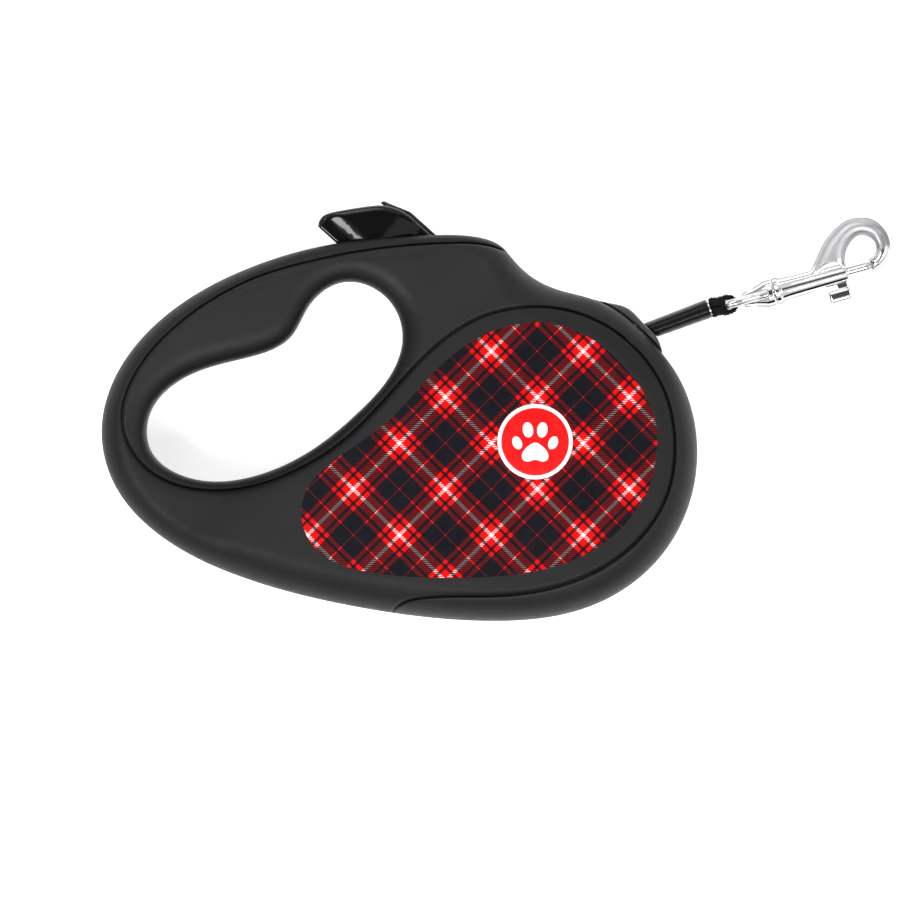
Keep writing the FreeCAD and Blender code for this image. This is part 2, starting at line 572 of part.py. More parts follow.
def make_hook():
    half = RING_HALF
    wire = RING_WIRE
    bar = Part.makeCylinder(wire, 2 * half, hook_point(RING_BAR, 0, MID_Z - half), Vector(0, 0, 1))
    eye = bar
    for way in (-1, 1):
        corner = hook_point(RING_BAR, 0, MID_Z + way * half)
        knee = hook_point(RING_BAR + 5.5, 0, MID_Z + way * half)
        shank = hook_point(-3.4, 0, MID_Z + way * 1.6)
        eye = eye.fuse(Part.makeSphere(wire, corner))
        eye = eye.fuse(Part.makeCylinder(wire, (knee - corner).Length, corner, knee - corner))
        eye = eye.fuse(Part.makeSphere(wire, knee))
        eye = eye.fuse(Part.makeCylinder(wire, (shank - knee).Length, knee, shank - knee))
    eye = eye.fuse(hook_cone(2.4, 3.7, -5.4, -1.0)).fuse(hook_rod(3.7, -1.0, -0.2))
    eye = eye.cut(hook_rod(RIVET_RADIUS, -6, 1))
    export(eye.removeSplitter(), "swivel_eye")
    rivet = hook_rod(RIVET_RADIUS, -4.4, 3.2).fuse(hook_rod(RIVET_HEAD, 3.2, 4.4))
    export(rivet.removeSplitter(), "swivel_rivet")

    collar = hook_rod(3.85, 0.0, 1.8).fuse(hook_cone(3.85, BARREL_RADIUS, 1.8, 3.6))
    barrel = hook_rod(BARREL_RADIUS, 3.6, BARREL_LENGTH)
    outline = [(8.5, 1.2), (11.4, 3.0), (16.5, 8.7), (20.8, 12.1), (25.2, 13.8), (28.4, 13.6), (31.8, 12.2),
               (34.3, 9.0), (35.1, 5.6), (34.3, 2.2), (31.8, -0.5), (28.2, -1.6)]
    eye_side = [(28.2, 1.6), (29.6, 2.2), (31.0, 3.9), (31.1, 6.0), (29.4, 8.3), (27.0, 9.1), (24.0, 7.6),
                (22.0, 5.2), (21.4, 1.2)]
    edges = [open_curve([tuple(hook_point(u, v))[:2] for u, v in outline]),
             Part.makeLine(hook_point(28.2, -1.6, 0), hook_point(28.2, 1.6, 0)),
             open_curve([tuple(hook_point(u, v))[:2] for u, v in eye_side]),
             Part.makeLine(hook_point(21.4, 1.2, 0), hook_point(8.5, 1.2, 0))]
    bow = prism(edges, MID_Z - HOOK_THICK / 2, MID_Z + HOOK_THICK / 2)
    bow = rounded(bow, BOW_ROUNDING, rim_edge)
    casting = barrel.fuse(collar).fuse(bow)
    casting = casting.cut(hook_rod(RIVET_RADIUS + FIT, -1, 3.2)).cut(hook_rod(RIVET_HEAD + FIT, 3.15, 4.5))
    casting = casting.cut(hook_rod(BOLT_RADIUS + FIT, 6.4, 28.15))
    casting = casting.cut(hook_box(GATE_STEM[0] - GATE_TRAVEL - 0.5, GATE_STEM[1] + 0.4, -4, 0, 0.9))
    export(largest(casting.removeSplitter()), "snap_casting")

    bolt = hook_rod(BOLT_RADIUS, 13.4, 28.0)
    stem = hook_box(GATE_STEM[0], GATE_STEM[1], -4.6, -0.2, 0.75)
    pad = rounded(hook_rod(1.75, 14.6, 20.8, -5.7), 0.5, any_edge)
    export(bolt.fuse(stem).fuse(pad).removeSplitter(), "gate_bolt")
    export(hook_rod(1.15, 6.5, 13.3).cut(hook_rod(0.8, 6, 14)), "gate_spring")


os.makedirs("parts", exist_ok=True)
make_casing()
make_spool()
make_brake()
make_leash_end()
make_hook()
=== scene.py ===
import math

import bmesh
import bpy
import numpy as np
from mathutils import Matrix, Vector, kdtree
from mathutils.geometry import delaunay_2d_cdt


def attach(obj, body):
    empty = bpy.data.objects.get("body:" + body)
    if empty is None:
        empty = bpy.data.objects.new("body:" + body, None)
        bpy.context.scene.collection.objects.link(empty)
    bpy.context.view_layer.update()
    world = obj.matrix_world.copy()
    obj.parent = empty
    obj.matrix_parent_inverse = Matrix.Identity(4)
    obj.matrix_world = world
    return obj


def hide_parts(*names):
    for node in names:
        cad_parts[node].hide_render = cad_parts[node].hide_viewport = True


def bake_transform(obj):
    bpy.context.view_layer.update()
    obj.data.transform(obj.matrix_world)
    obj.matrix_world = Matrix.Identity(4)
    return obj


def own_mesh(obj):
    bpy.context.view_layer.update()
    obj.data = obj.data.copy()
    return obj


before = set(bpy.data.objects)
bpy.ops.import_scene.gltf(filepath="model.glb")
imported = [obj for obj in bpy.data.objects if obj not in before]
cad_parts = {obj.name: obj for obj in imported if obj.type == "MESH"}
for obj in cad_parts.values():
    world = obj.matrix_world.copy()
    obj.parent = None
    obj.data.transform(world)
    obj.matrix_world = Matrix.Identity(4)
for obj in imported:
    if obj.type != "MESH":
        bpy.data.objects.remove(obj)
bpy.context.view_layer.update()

MM = 0.001

# ---- the object's own dimensions, in millimetres -------------------------------------------------
MID_Z = 17.0
HALF_THICK = 17.0
HANDLE_DROP = 3.5
DRUM_ANGLE = math.radians(43.0)
DRUM_EDGE = 38.5
HANDLE_EDGE = 62.0
LABEL_THICK = 0.4
BUTTON_ANGLE = -42.0
LEASH_ANGLE = 20.5
HOOK_ANGLE = 15.5
HOOK_ORIGIN = (65.5, 47.6)
TAPE_BEND = (26.5, 35.24)
SLEEVE_START = (31.9, 37.3)
SLEEVE_LENGTH = 16.2

OUTLINE = [(-122.6, 9), (-119.2, 23), (-106.1, 39.8), (-84, 53.2), (-56, 61.2), (-34, 63.2), (-22.4, 63.4),
           (-15.8, 62.5), (-11, 60.4), (-7.6, 56.7), (-3.2, 52.4), (3, 48.9), (16, 45), (30, 34.8), (39.6, 22),
           (43.9, 4), (42, -10.6), (32.8, -27.4), (14.8, -40), (-14.8, -44.4), (-50.4, -40.6), (-84, -31.9),
           (-106.4, -20.4), (-118.6, -7)]
FINGER_HOLE = [(-38.5, 34), (-42.2, 45.2), (-54.6, 50.5), (-64.7, 43.9), (-69.6, 35.4), (-84, 28.8),
               (-100.8, 23), (-109.4, 13.5), (-109.2, 3.4), (-98, -4.5), (-84, -4.8), (-66.1, 2),
               (-50.1, 14.6), (-40.6, 26.5)]
SEAM = [(-3, 53.6), (-8.6, 58.2), (-14.5, 60.4), (-28, 61), (-44.8, 59.6), (-61.6, 56.6), (-78.4, 51.8),
        (-95, 43), (-110.3, 28.6), (-116.5, 11.8), (-110.5, -1), (-91, -7.8), (-70, -3), (-53, 7.8),
        (-32.2, 29.7), (-17, 40.4), (-1.4, 43.4), (14, 40.3), (26.6, 31.6), (34.4, 20.2), (37.5, 4),
        (35.3, -9.2), (24.5, -24.4), (9.8, -33), (-11.2, -37.2), (-32.2, -37.8), (-38.5, -39.4),
        (-43.5, -44.5)]
OUTSIDE = [(-60, -60), (-135, -40), (-140, 40), (-90, 75), (0, 75)]
LABEL = [(-1, 39), (5.8, 38), (15.8, 33.3), (23.6, 26.2), (29.3, 18.3), (32.2, 10.5), (32.3, 2.6), (30, -7.4),
         (25.8, -14.5), (15.8, -23.8), (-1.4, -30.3), (-26.4, -32.2), (-49.2, -30.3), (-61.4, -25.2),
         (-66.2, -17.5), (-65.6, -8.8), (-58.5, -0.4), (-42.8, 11.2), (-30, 24.7), (-17.1, 34.8), (-8.5, 38)]
NOZZLE_CURVE = [(15.4, 45.4), (19.6, 44.4), (23.2, 43.6), (24.8, 42.8), (28.6, 39.1), (32.2, 35.4), (33.8, 32.0),
                (34.2, 29.6)]
NOZZLE_BACK = [(30.6, 28.2), (14.6, 41.2)]
ROLLER = (26.17, 37.85)
SCREWS = [(-84, -18), (-40, -30), (-12, 52), (-98, 34.5), (-73, 46), (-106, -10.5)]


# ---- plane curves --------------------------------------------------------------------------------
SPLINE_SAMPLES = 60                      # between two points, before the even spacing
INSIDE_BATCH = 4000                      # points tested at a time, to save memory


def spline(points, closed, step):
    """Cubic spline through the points, sampled about every step millimetres."""
    p = np.array(points, float)
    if closed:
        p = np.vstack([p, p[:1]])
    h = np.linalg.norm(np.diff(p, axis=0), axis=1)
    n = len(p)
    a = np.zeros((n, n))
    b = np.zeros((n, p.shape[1]))
    for i in range(1, n - 1):
        a[i, i - 1:i + 2] = h[i - 1], 2 * (h[i - 1] + h[i]), h[i]
        b[i] = 6 * ((p[i + 1] - p[i]) / h[i] - (p[i] - p[i - 1]) / h[i - 1])
    if closed:
        a[0, 0], a[0, -1] = 1, -1
        a[-1, 0], a[-1, 1] = 2 * h[0], h[0]
        a[-1, -2] += h[-1]
        a[-1, -1] += 2 * h[-1]
        b[-1] = 6 * ((p[1] - p[0]) / h[0] - (p[-1] - p[-2]) / h[-1])
    else:
        a[0, 0] = a[-1, -1] = 1
    m = np.linalg.solve(a, b)
    fine = []
    t = np.linspace(0, 1, SPLINE_SAMPLES, endpoint=False)[:, None]
    u = 1 - t
    for i in range(n - 1):
        fine.append(u * p[i] + t * p[i + 1] + h[i] ** 2 / 6 * ((u ** 3 - u) * m[i] + (t ** 3 - t) * m[i + 1]))
    return resample(np.vstack(fine + [p[-1:]]), step, closed)


def resample(path, step, closed):
    """Even spacing along the path; a closed path comes with its first point repeated, and loses it."""
    length = np.concatenate([[0], np.cumsum(np.linalg.norm(np.diff(path, axis=0), axis=1))])
    count = max(3, int(round(length[-1] / step)) + (0 if closed else 1))
    at = np.linspace(0, length[-1], count, endpoint=not closed)
    return np.stack([np.interp(at, length, path[:, k]) for k in range(path.shape[1])], 1)


def chain(corners, step):
    """Straight-sided open path, divided evenly, without its last point."""
    c = np.array(corners, float)
    sides = []
    for a, b in zip(c[:-1], c[1:]):
        count = max(1, int(np.linalg.norm(b - a) / step))
        sides.append(a + (b - a) * (np.arange(count) / count)[:, None])
    return np.vstack(sides)


def polygon(corners, step):
    """Straight-sided closed loop, each side divided evenly."""
    return chain(list(corners) + [corners[0]], step)


def angles(count):
    return np.arange(count) / count * 2 * np.pi


def circle(centre, radius, count):
    t = angles(count)
    return np.stack([centre[0] + radius * np.cos(t), centre[1] + radius * np.sin(t)], 1)


def area(loop):
    nxt = np.roll(loop, -1, 0)
    return 0.5 * np.sum(loop[:, 0] * nxt[:, 1] - nxt[:, 0] * loop[:, 1])


def shifted(loop, distance):
    """A closed loop moved outwards by the distance."""
    t = np.roll(loop, -1, 0) - np.roll(loop, 1, 0)
    t /= np.linalg.norm(t, axis=1)[:, None]
    side = 1 if area(loop) > 0 else -1
    return loop + side * distance * np.stack([t[:, 1], -t[:, 0]], 1)


def inside(points, loop):
    """Which points lie inside the closed loop."""
    result = np.zeros(len(points), bool)
    near = np.where(np.all((points >= loop.min(0)) & (points <= loop.max(0)), axis=1))[0]
    a, b = loop, np.roll(loop, -1, 0)
    rise = np.where(b[:, 1] == a[:, 1], 1e-12, b[:, 1] - a[:, 1])
    slope = (b[:, 0] - a[:, 0]) / rise
    for start in range(0, len(near), INSIDE_BATCH):
        part = near[start:start + INSIDE_BATCH]
        x, y = points[part, 0][:, None], points[part, 1][:, None]
        crosses = (a[:, 1] > y) != (b[:, 1] > y)
        result[part] = np.sum(crosses & (x < slope * (y - a[:, 1]) + a[:, 0]), axis=1) % 2 == 1
    return result


def point_tree(points):
    tree = kdtree.KDTree(len(points))
    for i, (x, y) in enumerate(points):
        tree.insert((x, y, 0), i)
    tree.balance()
    return tree


class Edge:
    """A curve that distances are measured from."""

    def __init__(self, dense, closed=True):
        self.dense = dense
        self.closed = closed
        self.tree = point_tree(dense)

    def distance(self, points):
        index = np.array([self.tree.find((x, y, 0))[1] for x, y in points], int)
        best = np.full(len(points), 1e9)
        count = len(self.dense)
        for step in (-1, 0):
            first, second = index + step, index + step + 1
            if self.closed:
                first, second = first % count, second % count
            else:
                first, second = np.clip(first, 0, count - 1), np.clip(second, 0, count - 1)
            a, b = self.dense[first], self.dense[second]
            d = b - a
            t = np.clip(np.sum((points - a) * d, 1) / np.maximum(np.sum(d * d, 1), 1e-12), 0, 1)
            best = np.minimum(best, np.linalg.norm(points - a - t[:, None] * d, axis=1))
        return best


def direction(degrees):
    return np.array([math.cos(math.radians(degrees)), math.sin(math.radians(degrees))])


def on_line(origin, degrees, u, v):
    """Plane point u along and v to the left of a line."""
    return np.array(origin) + direction(degrees) * u + direction(degrees + 90) * v


def smooth(x, low, high):
    t = np.clip((x - low) / (high - low), 0, 1)
    return t * t * (3 - 2 * t)


def roll(distance, width, depth):
    """Drop of a rounded edge of that width and depth, at a distance from the edge."""
    u = np.clip(1 - distance / width, 0, 1)
    return depth * (1 - np.sqrt(1 - u * u))


# ---- meshes --------------------------------------------------------------------------------------
def raw_mesh(name, verts, faces):
    """Mesh from millimetre coordinates, its faces turned outwards."""
    mesh = bpy.data.meshes.new(name)
    mesh.from_pydata([tuple(c * MM for c in v) for v in verts], [], faces)
    work = bmesh.new()
    work.from_mesh(mesh)
    bmesh.ops.recalc_face_normals(work, faces=work.faces)
    work.to_mesh(mesh)
    work.free()
    return mesh


def linked(name, data):
    obj = bpy.data.objects.new(name, data)
    bpy.context.scene.collection.objects.link(obj)
    return obj


def placed(name, mesh, material, sharp, slot, body=None, replaces=()):
    """Object of a finished mesh, smooth except at edges sharper than the angle."""
    mesh.polygons.foreach_set("use_smooth", [True] * len(mesh.polygons))
    mesh.set_sharp_from_angle(angle=math.radians(sharp))
    mesh.materials.clear()
    mesh.materials.append(material)
    obj = linked(name, mesh)
    if body:
        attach(obj, body)
    if replaces:
        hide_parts(*replaces)
    return obj


def mesh_object(name, shape, material, sharp, slot, body=None, replaces=()):
    """Object of a (vertices, faces) pair in millimetres."""
    return placed(name, raw_mesh(name, *shape), material, sharp, slot, body, replaces)


class Plan:
    """Plane triangulation shared by the pieces that are built over it, with a bit mask per triangle."""

    def __init__(self, lines, rings, grid, keep, regions):
        """lines: [(points, closed)]; rings: loose points; keep: test for loose points; regions: {bit: loop}."""
        verts = []
        edges = []
        for points, closed in lines:
            start = len(verts)
            verts += [tuple(p) for p in points]
            count = len(points)
            edges += [(start + i, start + (i + 1) % count) for i in range(count if closed else count - 1)]
        cells = {}                               # millimetre squares, to find a point's neighbours
        for p in verts:
            cells.setdefault(self.cell(p), []).append(p)

        def add(points, gap):
            """Adds the points that nothing is nearer to than the gap."""
            reach = int(math.ceil(gap))
            for p in points[keep(points)]:
                p = tuple(p)
                i, j = self.cell(p)
                near = [q for k in range(i - reach, i + reach + 1) for m in range(j - reach, j + reach + 1)
                        for q in cells.get((k, m), ())]
                if all((q[0] - p[0]) ** 2 + (q[1] - p[1]) ** 2 >= gap * gap for q in near):
                    cells.setdefault((i, j), []).append(p)
                    verts.append(p)

        for points, gap in rings:
            add(points, gap)
        low = np.min([np.min(line[0], 0) for line in lines], 0)
        high = np.max([np.max(line[0], 0) for line in lines], 0)
        row = grid * 0.87                        # rows of a triangular grid
        gx, gy = np.meshgrid(np.arange(low[0], high[0], grid), np.arange(low[1], high[1], row))
        gx = gx + (np.arange(len(gy))[:, None] % 2) * grid / 2
        add(np.stack([gx.ravel(), gy.ravel()], 1), grid * 0.55)
        out = delaunay_2d_cdt([Vector(v) for v in verts], edges, [], 0, 1e-6, False)
        self.points = np.array([tuple(v) for v in out[0]])
        self.tris = np.array([tuple(f) for f in out[2]])
        centres = self.points[self.tris].mean(1)
        self.mask = np.zeros(len(self.tris), int)
        for bit, loop in regions.items():
            for one in loop if isinstance(loop, list) else [loop]:
                self.mask |= np.where(inside(centres, one), bit, 0)

    @staticmethod
    def cell(p):
        return int(math.floor(p[0])), int(math.floor(p[1]))

    def build(self, levels, way, split=None, pinch=None, weld=False):
        """Vertices and faces of the solid whose span over each triangle is levels(mask): (low, high) arrays.

        way is +1 for the half above the parting plane and -1 below; split adds a level at some points,
        pinch moves a point's lowest vertex sideways; weld leaves out the faces in the parting plane.
        """
        spans = {mask: levels(int(mask)) for mask in np.unique(self.mask)}
        at_point = [set() for _ in self.points]
        owner = {}
        for index, (tri, mask) in enumerate(zip(self.tris, self.mask)):
            span = spans[mask]
            for k in range(3):
                a, b = int(tri[k]), int(tri[(k + 1) % 3])
                owner.setdefault((min(a, b), max(a, b)), []).append(mask)
                if span is not None:
                    at_point[a].add(round(float(span[0][a]), 4))
                    at_point[a].add(round(float(span[1][a]), 4))
        if split is not None:
            for point, level in split.items():
                if at_point[point] and min(at_point[point]) < level < max(at_point[point]):
                    at_point[point].add(level)
        ordered = [sorted(levels_here) for levels_here in at_point]
        verts, faces, number = [], [], {}

        def vertex(point, level):
            level = round(float(level), 4)
            key = (point, level)
            if key not in number:
                number[key] = len(verts)
                x, y = self.points[point]
                if pinch is not None and level == 0 and point in pinch:
                    x, y = pinch[point]
                verts.append((x, y, MID_Z + way * level))
            return number[key]

        for tri, mask in zip(self.tris, self.mask):
            span = spans[mask]
            if span is None:
                continue
            a, b, c = (int(i) for i in tri)
            top = [vertex(p, span[1][p]) for p in (a, b, c)]
            low = [vertex(p, span[0][p]) for p in (c, b, a)]
            faces.append(top)
            if not (weld and all(span[0][p] == 0 for p in (a, b, c))):
                faces.append(low)

        def column(point, low, high):
            low, high = round(float(low), 4), round(float(high), 4)
            return [vertex(point, level) for level in ordered[point] if low <= level <= high]

        def wall(a, b, low, high):
            left, right = column(a, low[a], high[a]), column(b, low[b], high[b])
            if len(left) == len(right):
                for i in range(len(left) - 1):
                    faces.append([left[i], right[i], right[i + 1], left[i + 1]])
            elif len(left) + len(right) > 2:
                faces.append(left[::-1] + right)

        for (a, b), masks in owner.items():
            first = spans[masks[0]]
            second = spans[masks[1]] if len(masks) > 1 else None
            if first is None and second is None:
                continue
            if first is None or second is None:
                only = first if first is not None else second
                wall(a, b, only[0], only[1])
            elif masks[0] != masks[1]:
                for side in (0, 1):
                    p, q = first[side], second[side]
                    if max(abs(p[a] - q[a]), abs(p[b] - q[b])) > 1e-4:
                        wall(a, b, np.minimum(p, q), np.maximum(p, q))
        return verts, faces


def joined(*parts):
    verts, faces = [], []
    for v, f in parts:
        base = len(verts)
        verts += v
        faces += [[i + base for i in face] for face in f]
    return verts, faces


def welded(verts, faces):
    """The same mesh with coincident vertices merged."""
    number, new, index = {}, [], []
    for v in verts:
        key = tuple(round(c, 4) for c in v)
        if key not in number:
            number[key] = len(new)
            new.append(v)
        index.append(number[key])
    out = []
    for face in faces:
        loop = [index[i] for i in face]
        loop = [v for k, v in enumerate(loop) if v != loop[k - 1]]
        if len(loop) > 2:
            out.append(loop)
    return new, out


# ---- the casing's surface ------------------------------------------------------------------------
sil_fine = spline(OUTLINE, True, 0.15)
hole_fine = spline(FINGER_HOLE, True, 0.15)
sil_edge = Edge(sil_fine)
hole_edge = Edge(hole_fine)
bezier = np.linspace(0, 1, 60)
STEP_W = (DRUM_EDGE * (1 - bezier) ** 3 + 3 * ((DRUM_EDGE + HANDLE_EDGE) / 2) * bezier * (1 - bezier)
          + HANDLE_EDGE * bezier ** 3)
STEP_Z = HANDLE_DROP * (3 * bezier ** 2 - 2 * bezier ** 3)
RIM_WIDTH, RIM_DEPTH = 9.5, 10.0         # the rounded rim of the drum
NARROWER, SHALLOWER = 3.0, 2.6           # by how much it is so on the handle
DEPTH_AT_BUTTON, DEPTH_AT_NOZZLE = 4.9, 7.0
CREASE, CREASE_ROUND = 0.12, 0.3
HOLE_ROLL = (6.4, 5.4)


def across_drum(points):
    return points @ np.array([-math.sin(DRUM_ANGLE), math.cos(DRUM_ANGLE)])


def nearness(points, place, near, far):
    """One within the near distance of the place, fading to zero at the far one."""
    return 1 - smooth(np.linalg.norm(points - np.array(place), axis=1), near, far)


def casing_height(points):
    """Height of the casing's outer surface above the parting plane."""
    handle = smooth(across_drum(points), 30, 60)
    rim = sil_edge.distance(points)
    near_button = nearness(points, (-45.0, 62.0), 18, 40)
    near_nozzle = nearness(points, (26.0, 40.0), 12, 30)
    depth = RIM_DEPTH - SHALLOWER * handle
    depth = (depth + (DEPTH_AT_BUTTON - depth) * near_button
             + (DEPTH_AT_NOZZLE - depth) * near_nozzle * (1 - near_button))
    width = RIM_WIDTH - NARROWER * handle
    bevel = np.clip(width - rim, 0, None)
    crease = CREASE * (1 - near_button) * (np.sqrt(bevel ** 2 + CREASE_ROUND) - math.sqrt(CREASE_ROUND))
    height = HALF_THICK - np.interp(across_drum(points), STEP_W, STEP_Z)
    return height - roll(rim, width, depth) - crease - roll(hole_edge.distance(points), *HOLE_ROLL)


SPACING = 0.7
sil = spline(OUTLINE, True, SPACING)
hole = spline(FINGER_HOLE, True, SPACING)
label_loop = spline(LABEL, True, 0.9)
seam_mid = spline(SEAM, False, 0.75)
seam_tangent = np.gradient(seam_mid, axis=0)
seam_tangent /= np.linalg.norm(seam_tangent, axis=1)[:, None]
seam_to_cover = np.stack([seam_tangent[:, 1], -seam_tangent[:, 0]], 1)
SEAM_HALF = 0.24


def seam_at(shift):
    """The seam, moved towards the cover by the shift."""
    return seam_mid + seam_to_cover * shift


def cover_side(shift):
    return np.vstack([seam_at(shift), np.array(OUTSIDE, float)])


def button_points(pairs):
    return np.array([on_line((0, 0), BUTTON_ANGLE, s, t) for s, t in pairs])


BUTTON_OPENING = button_points([(-96, 7.1), (-73.55, 7.1), (-57.85, 27.1), (-96, 27.1)])
LOCK_OPENING = button_points([(-96, 26), (-55.5, 26), (-55.5, 28.4), (-96, 28.4)])
BOSS_RADIUS, BORE_RADIUS = 3.3, 2.95
nozzle_loop = np.vstack([spline(NOZZLE_CURVE, False, 0.6)[:-1],
                         chain([NOZZLE_CURVE[-1]] + NOZZLE_BACK + [NOZZLE_CURVE[0]], 0.8)])

(IN_SIL, IN_HOLE, COVER, GAP, INSET2, INSET4, HOLE4, IN_LABEL, BUTTON, LOCK, NOZZLE, BOSS,
 BORE) = [1 << k for k in range(13)]


def beside(fine, distance):
    """A loop at a distance from a finely sampled one, at the casing's spacing."""
    moved = shifted(fine, distance)
    return resample(np.vstack([moved, moved[:1]]), SPACING, True)


WALL = 2.0
inset2, inset4, hole4 = beside(sil_fine, -WALL), beside(sil_fine, -2 * WALL), beside(hole_fine, 2 * WALL)
bosses = [circle(place, BOSS_RADIUS, 24) for place in SCREWS]
bores = [circle(place, BORE_RADIUS, 24) for place in SCREWS]
button_loop = polygon(BUTTON_OPENING, 1.0)
lock_loop = polygon(LOCK_OPENING, 1.0)
lines = [(loop, True) for loop in [sil, hole, inset2, inset4, hole4, label_loop, button_loop, lock_loop,
                                   nozzle_loop] + bosses + bores]
lines += [(seam_at(SEAM_HALF), False), (seam_at(-SEAM_HALF), False)]
rings = []
for d in (0.2, 0.45, 0.8, 1.3, 2.0):
    rings += [(seam_at(SEAM_HALF + d), 0.16 + 0.1 * d), (seam_at(-SEAM_HALF - d), 0.16 + 0.1 * d)]
for d in (0.2, 0.5, 0.9, 1.4, 2.8, 3.4, 4.7, 5.6, 6.5, 7.5, 8.5, 9.5):
    rings.append((shifted(sil_fine, -d)[::5], 0.15 + 0.05 * d))
for d in (0.2, 0.5, 0.9, 1.4, 2.0, 2.7, 3.4, 4.8, 5.7, 6.6):
    rings.append((shifted(hole_fine, d)[::5], 0.15 + 0.05 * d))


def on_casing(points):
    return inside(points, sil) & ~inside(points, hole)


casing = Plan(lines, rings, 2.4, on_casing, {
    IN_SIL: sil, IN_HOLE: hole, COVER: cover_side(SEAM_HALF), GAP: cover_side(-SEAM_HALF), INSET2: inset2,
    INSET4: inset4, HOLE4: hole4, IN_LABEL: label_loop, BUTTON: button_loop, LOCK: lock_loop,
    NOZZLE: nozzle_loop, BOSS: bosses, BORE: bores})
P = casing.points
outer = casing_height(P)
seam_far = Edge(seam_at(0.0), False).distance(P) - SEAM_HALF
cover_top = outer - roll(np.clip(seam_far, 0, None), 1.3, 0.9)
housing_top = outer - roll(np.clip(seam_far, 0, None), 0.6, 0.45)
zero = np.zeros(len(P))
OPEN = {BUTTON: 7.8, LOCK: 4.4, NOZZLE: 9.0}     # half heights of the openings in the casing's side
BORE_DEPTH = 9.0
FIT = 0.08                                       # between housing and cover


def span(mask, low, top):
    """The span, less the openings that the mask is in."""
    for bit, half in OPEN.items():
        if mask & bit:
            low = np.maximum(low, half)
    return np.minimum(low, top), top


def housing_levels(mask, way):
    if not mask & IN_SIL or mask & IN_HOLE or (mask & COVER and not mask & INSET2):
        return None
    if way < 0 and mask & BORE:
        return zero, zero + BORE_DEPTH
    top = outer - WALL - FIT if mask & COVER else outer - 1.5 if mask & GAP else housing_top
    return span(mask, zero if not mask & INSET4 or mask & HOLE4 or mask & BOSS else outer - 2 * WALL - 0.1, top)


def cover_levels(mask, way):
    if not mask & IN_SIL or mask & IN_HOLE or not mask & COVER or (way < 0 and mask & BORE):
        return None
    top = outer - LABEL_THICK - 0.02 if mask & IN_LABEL else cover_top
    return span(mask, zero if not mask & INSET2 else outer - WALL, top)


def label_levels(mask, way):
    if not mask & IN_LABEL or (way < 0 and mask & BORE):
        return None
    return outer - LABEL_THICK, outer - 0.03


PINCH, PINCH_HEIGHT = 0.2, 0.22                  # the groove along the parting line
rim_split, rim_pinch = {}, {}
tree = point_tree(P)
for edge, side in ((sil, -1), (hole, 1)):
    for p, q in zip(edge, shifted(edge, PINCH * side)):
        near, index, gap = tree.find((p[0], p[1], 0))
        if gap < 1e-4:
            rim_split[index] = PINCH_HEIGHT
            rim_pinch[index] = tuple(q)


# ---- materials -----------------------------------------------------------------------------------
class Look:
    """A procedural material; uniform values go on the shader's own sockets."""

    def __init__(self, name, colour=(0.5, 0.5, 0.5), rough=0.5, metal=0.0, **sockets):
        self.material = bpy.data.materials.new(name)
        self.material.use_nodes = True
        self.tree = self.material.node_tree
        self.shader = self.tree.nodes["Principled BSDF"]
        self.put("Base Color", (*colour, 1))
        self.put("Roughness", rough)
        self.put("Metallic", metal)
        for socket, value in sockets.items():
            self.put(socket.replace("_", " "), value)
        place = self.node("TexCoord")
        scale = self.node("VectorMath", operation="SCALE")
        scale.inputs["Scale"].default_value = 1 / MM
        self.tree.links.new(place.outputs["Object"], scale.inputs[0])
        self.mm = scale.outputs[0]                 # position in millimetres

    def node(self, kind, **settings):
        made = self.tree.nodes.new("ShaderNode" + kind)
        for setting, value in settings.items():
            setattr(made, setting, value)
        return made

    def feed(self, socket, value):
        if isinstance(value, bpy.types.NodeSocket):
            self.tree.links.new(value, socket)
        else:
            socket.default_value = value

    def put(self, socket, value):
        self.feed(self.shader.inputs[socket], value)

    def math(self, operation, *values):
        node = self.node("Math", operation=operation)
        for socket, value in zip(node.inputs, values):
            self.feed(socket, value)
        return node.outputs[0]

    def axes(self, vector=None):
        node = self.node("SeparateXYZ")
        self.feed(node.inputs[0], vector or self.mm)
        return node.outputs[0], node.outputs[1], node.outputs[2]

    def turned(self, degrees):
        """Position turned back about Z by the angle."""
        node = self.node("VectorRotate", rotation_type="Z_AXIS")
        node.inputs["Angle"].default_value = math.radians(-degrees)
        self.feed(node.inputs["Vector"], self.mm)
        return node.outputs[0]

    def noise(self, scale, detail=3.0, rough=0.5):
        node = self.node("TexNoise")
        self.feed(node.inputs["Vector"], self.mm)
        node.inputs["Scale"].default_value = scale
        node.inputs["Detail"].default_value = detail
        node.inputs["Roughness"].default_value = rough
        return node.outputs["Fac"]

    def ramp(self, value, low, high, start=0.0, end=1.0):
        """Value mapped from low..high to start..end, clamped."""
        node = self.node("MapRange")
        for k, number in enumerate((low, high, start, end)):
            node.inputs[k + 1].default_value = number
        self.feed(node.inputs[0], value)
        return node.outputs[0]

    def mix(self, factor, a, b):
        node = self.node("Mix", data_type="RGBA")
        self.feed(node.inputs[0], factor)
        for socket, value in ((node.inputs[6], a), (node.inputs[7], b)):
            self.feed(socket, value if isinstance(value, bpy.types.NodeSocket) else (*value, 1))
        return node.outputs[2]

    def bump(self, height, distance):
        node = self.node("Bump")
        node.inputs["Strength"].default_value = 1.0
        node.inputs["Distance"].default_value = distance * MM
        self.feed(node.inputs["Height"], height)
        self.put("Normal", node.outputs[0])


def colour_stops(node, stops):
    """Sets a colour ramp to the (position, colour) pairs."""
    elements = node.color_ramp.elements
    while len(elements) < len(stops):
        elements.new(0.5)
    for element, (at, colour) in zip(elements, stops):
        element.position = at
        element.color = colour


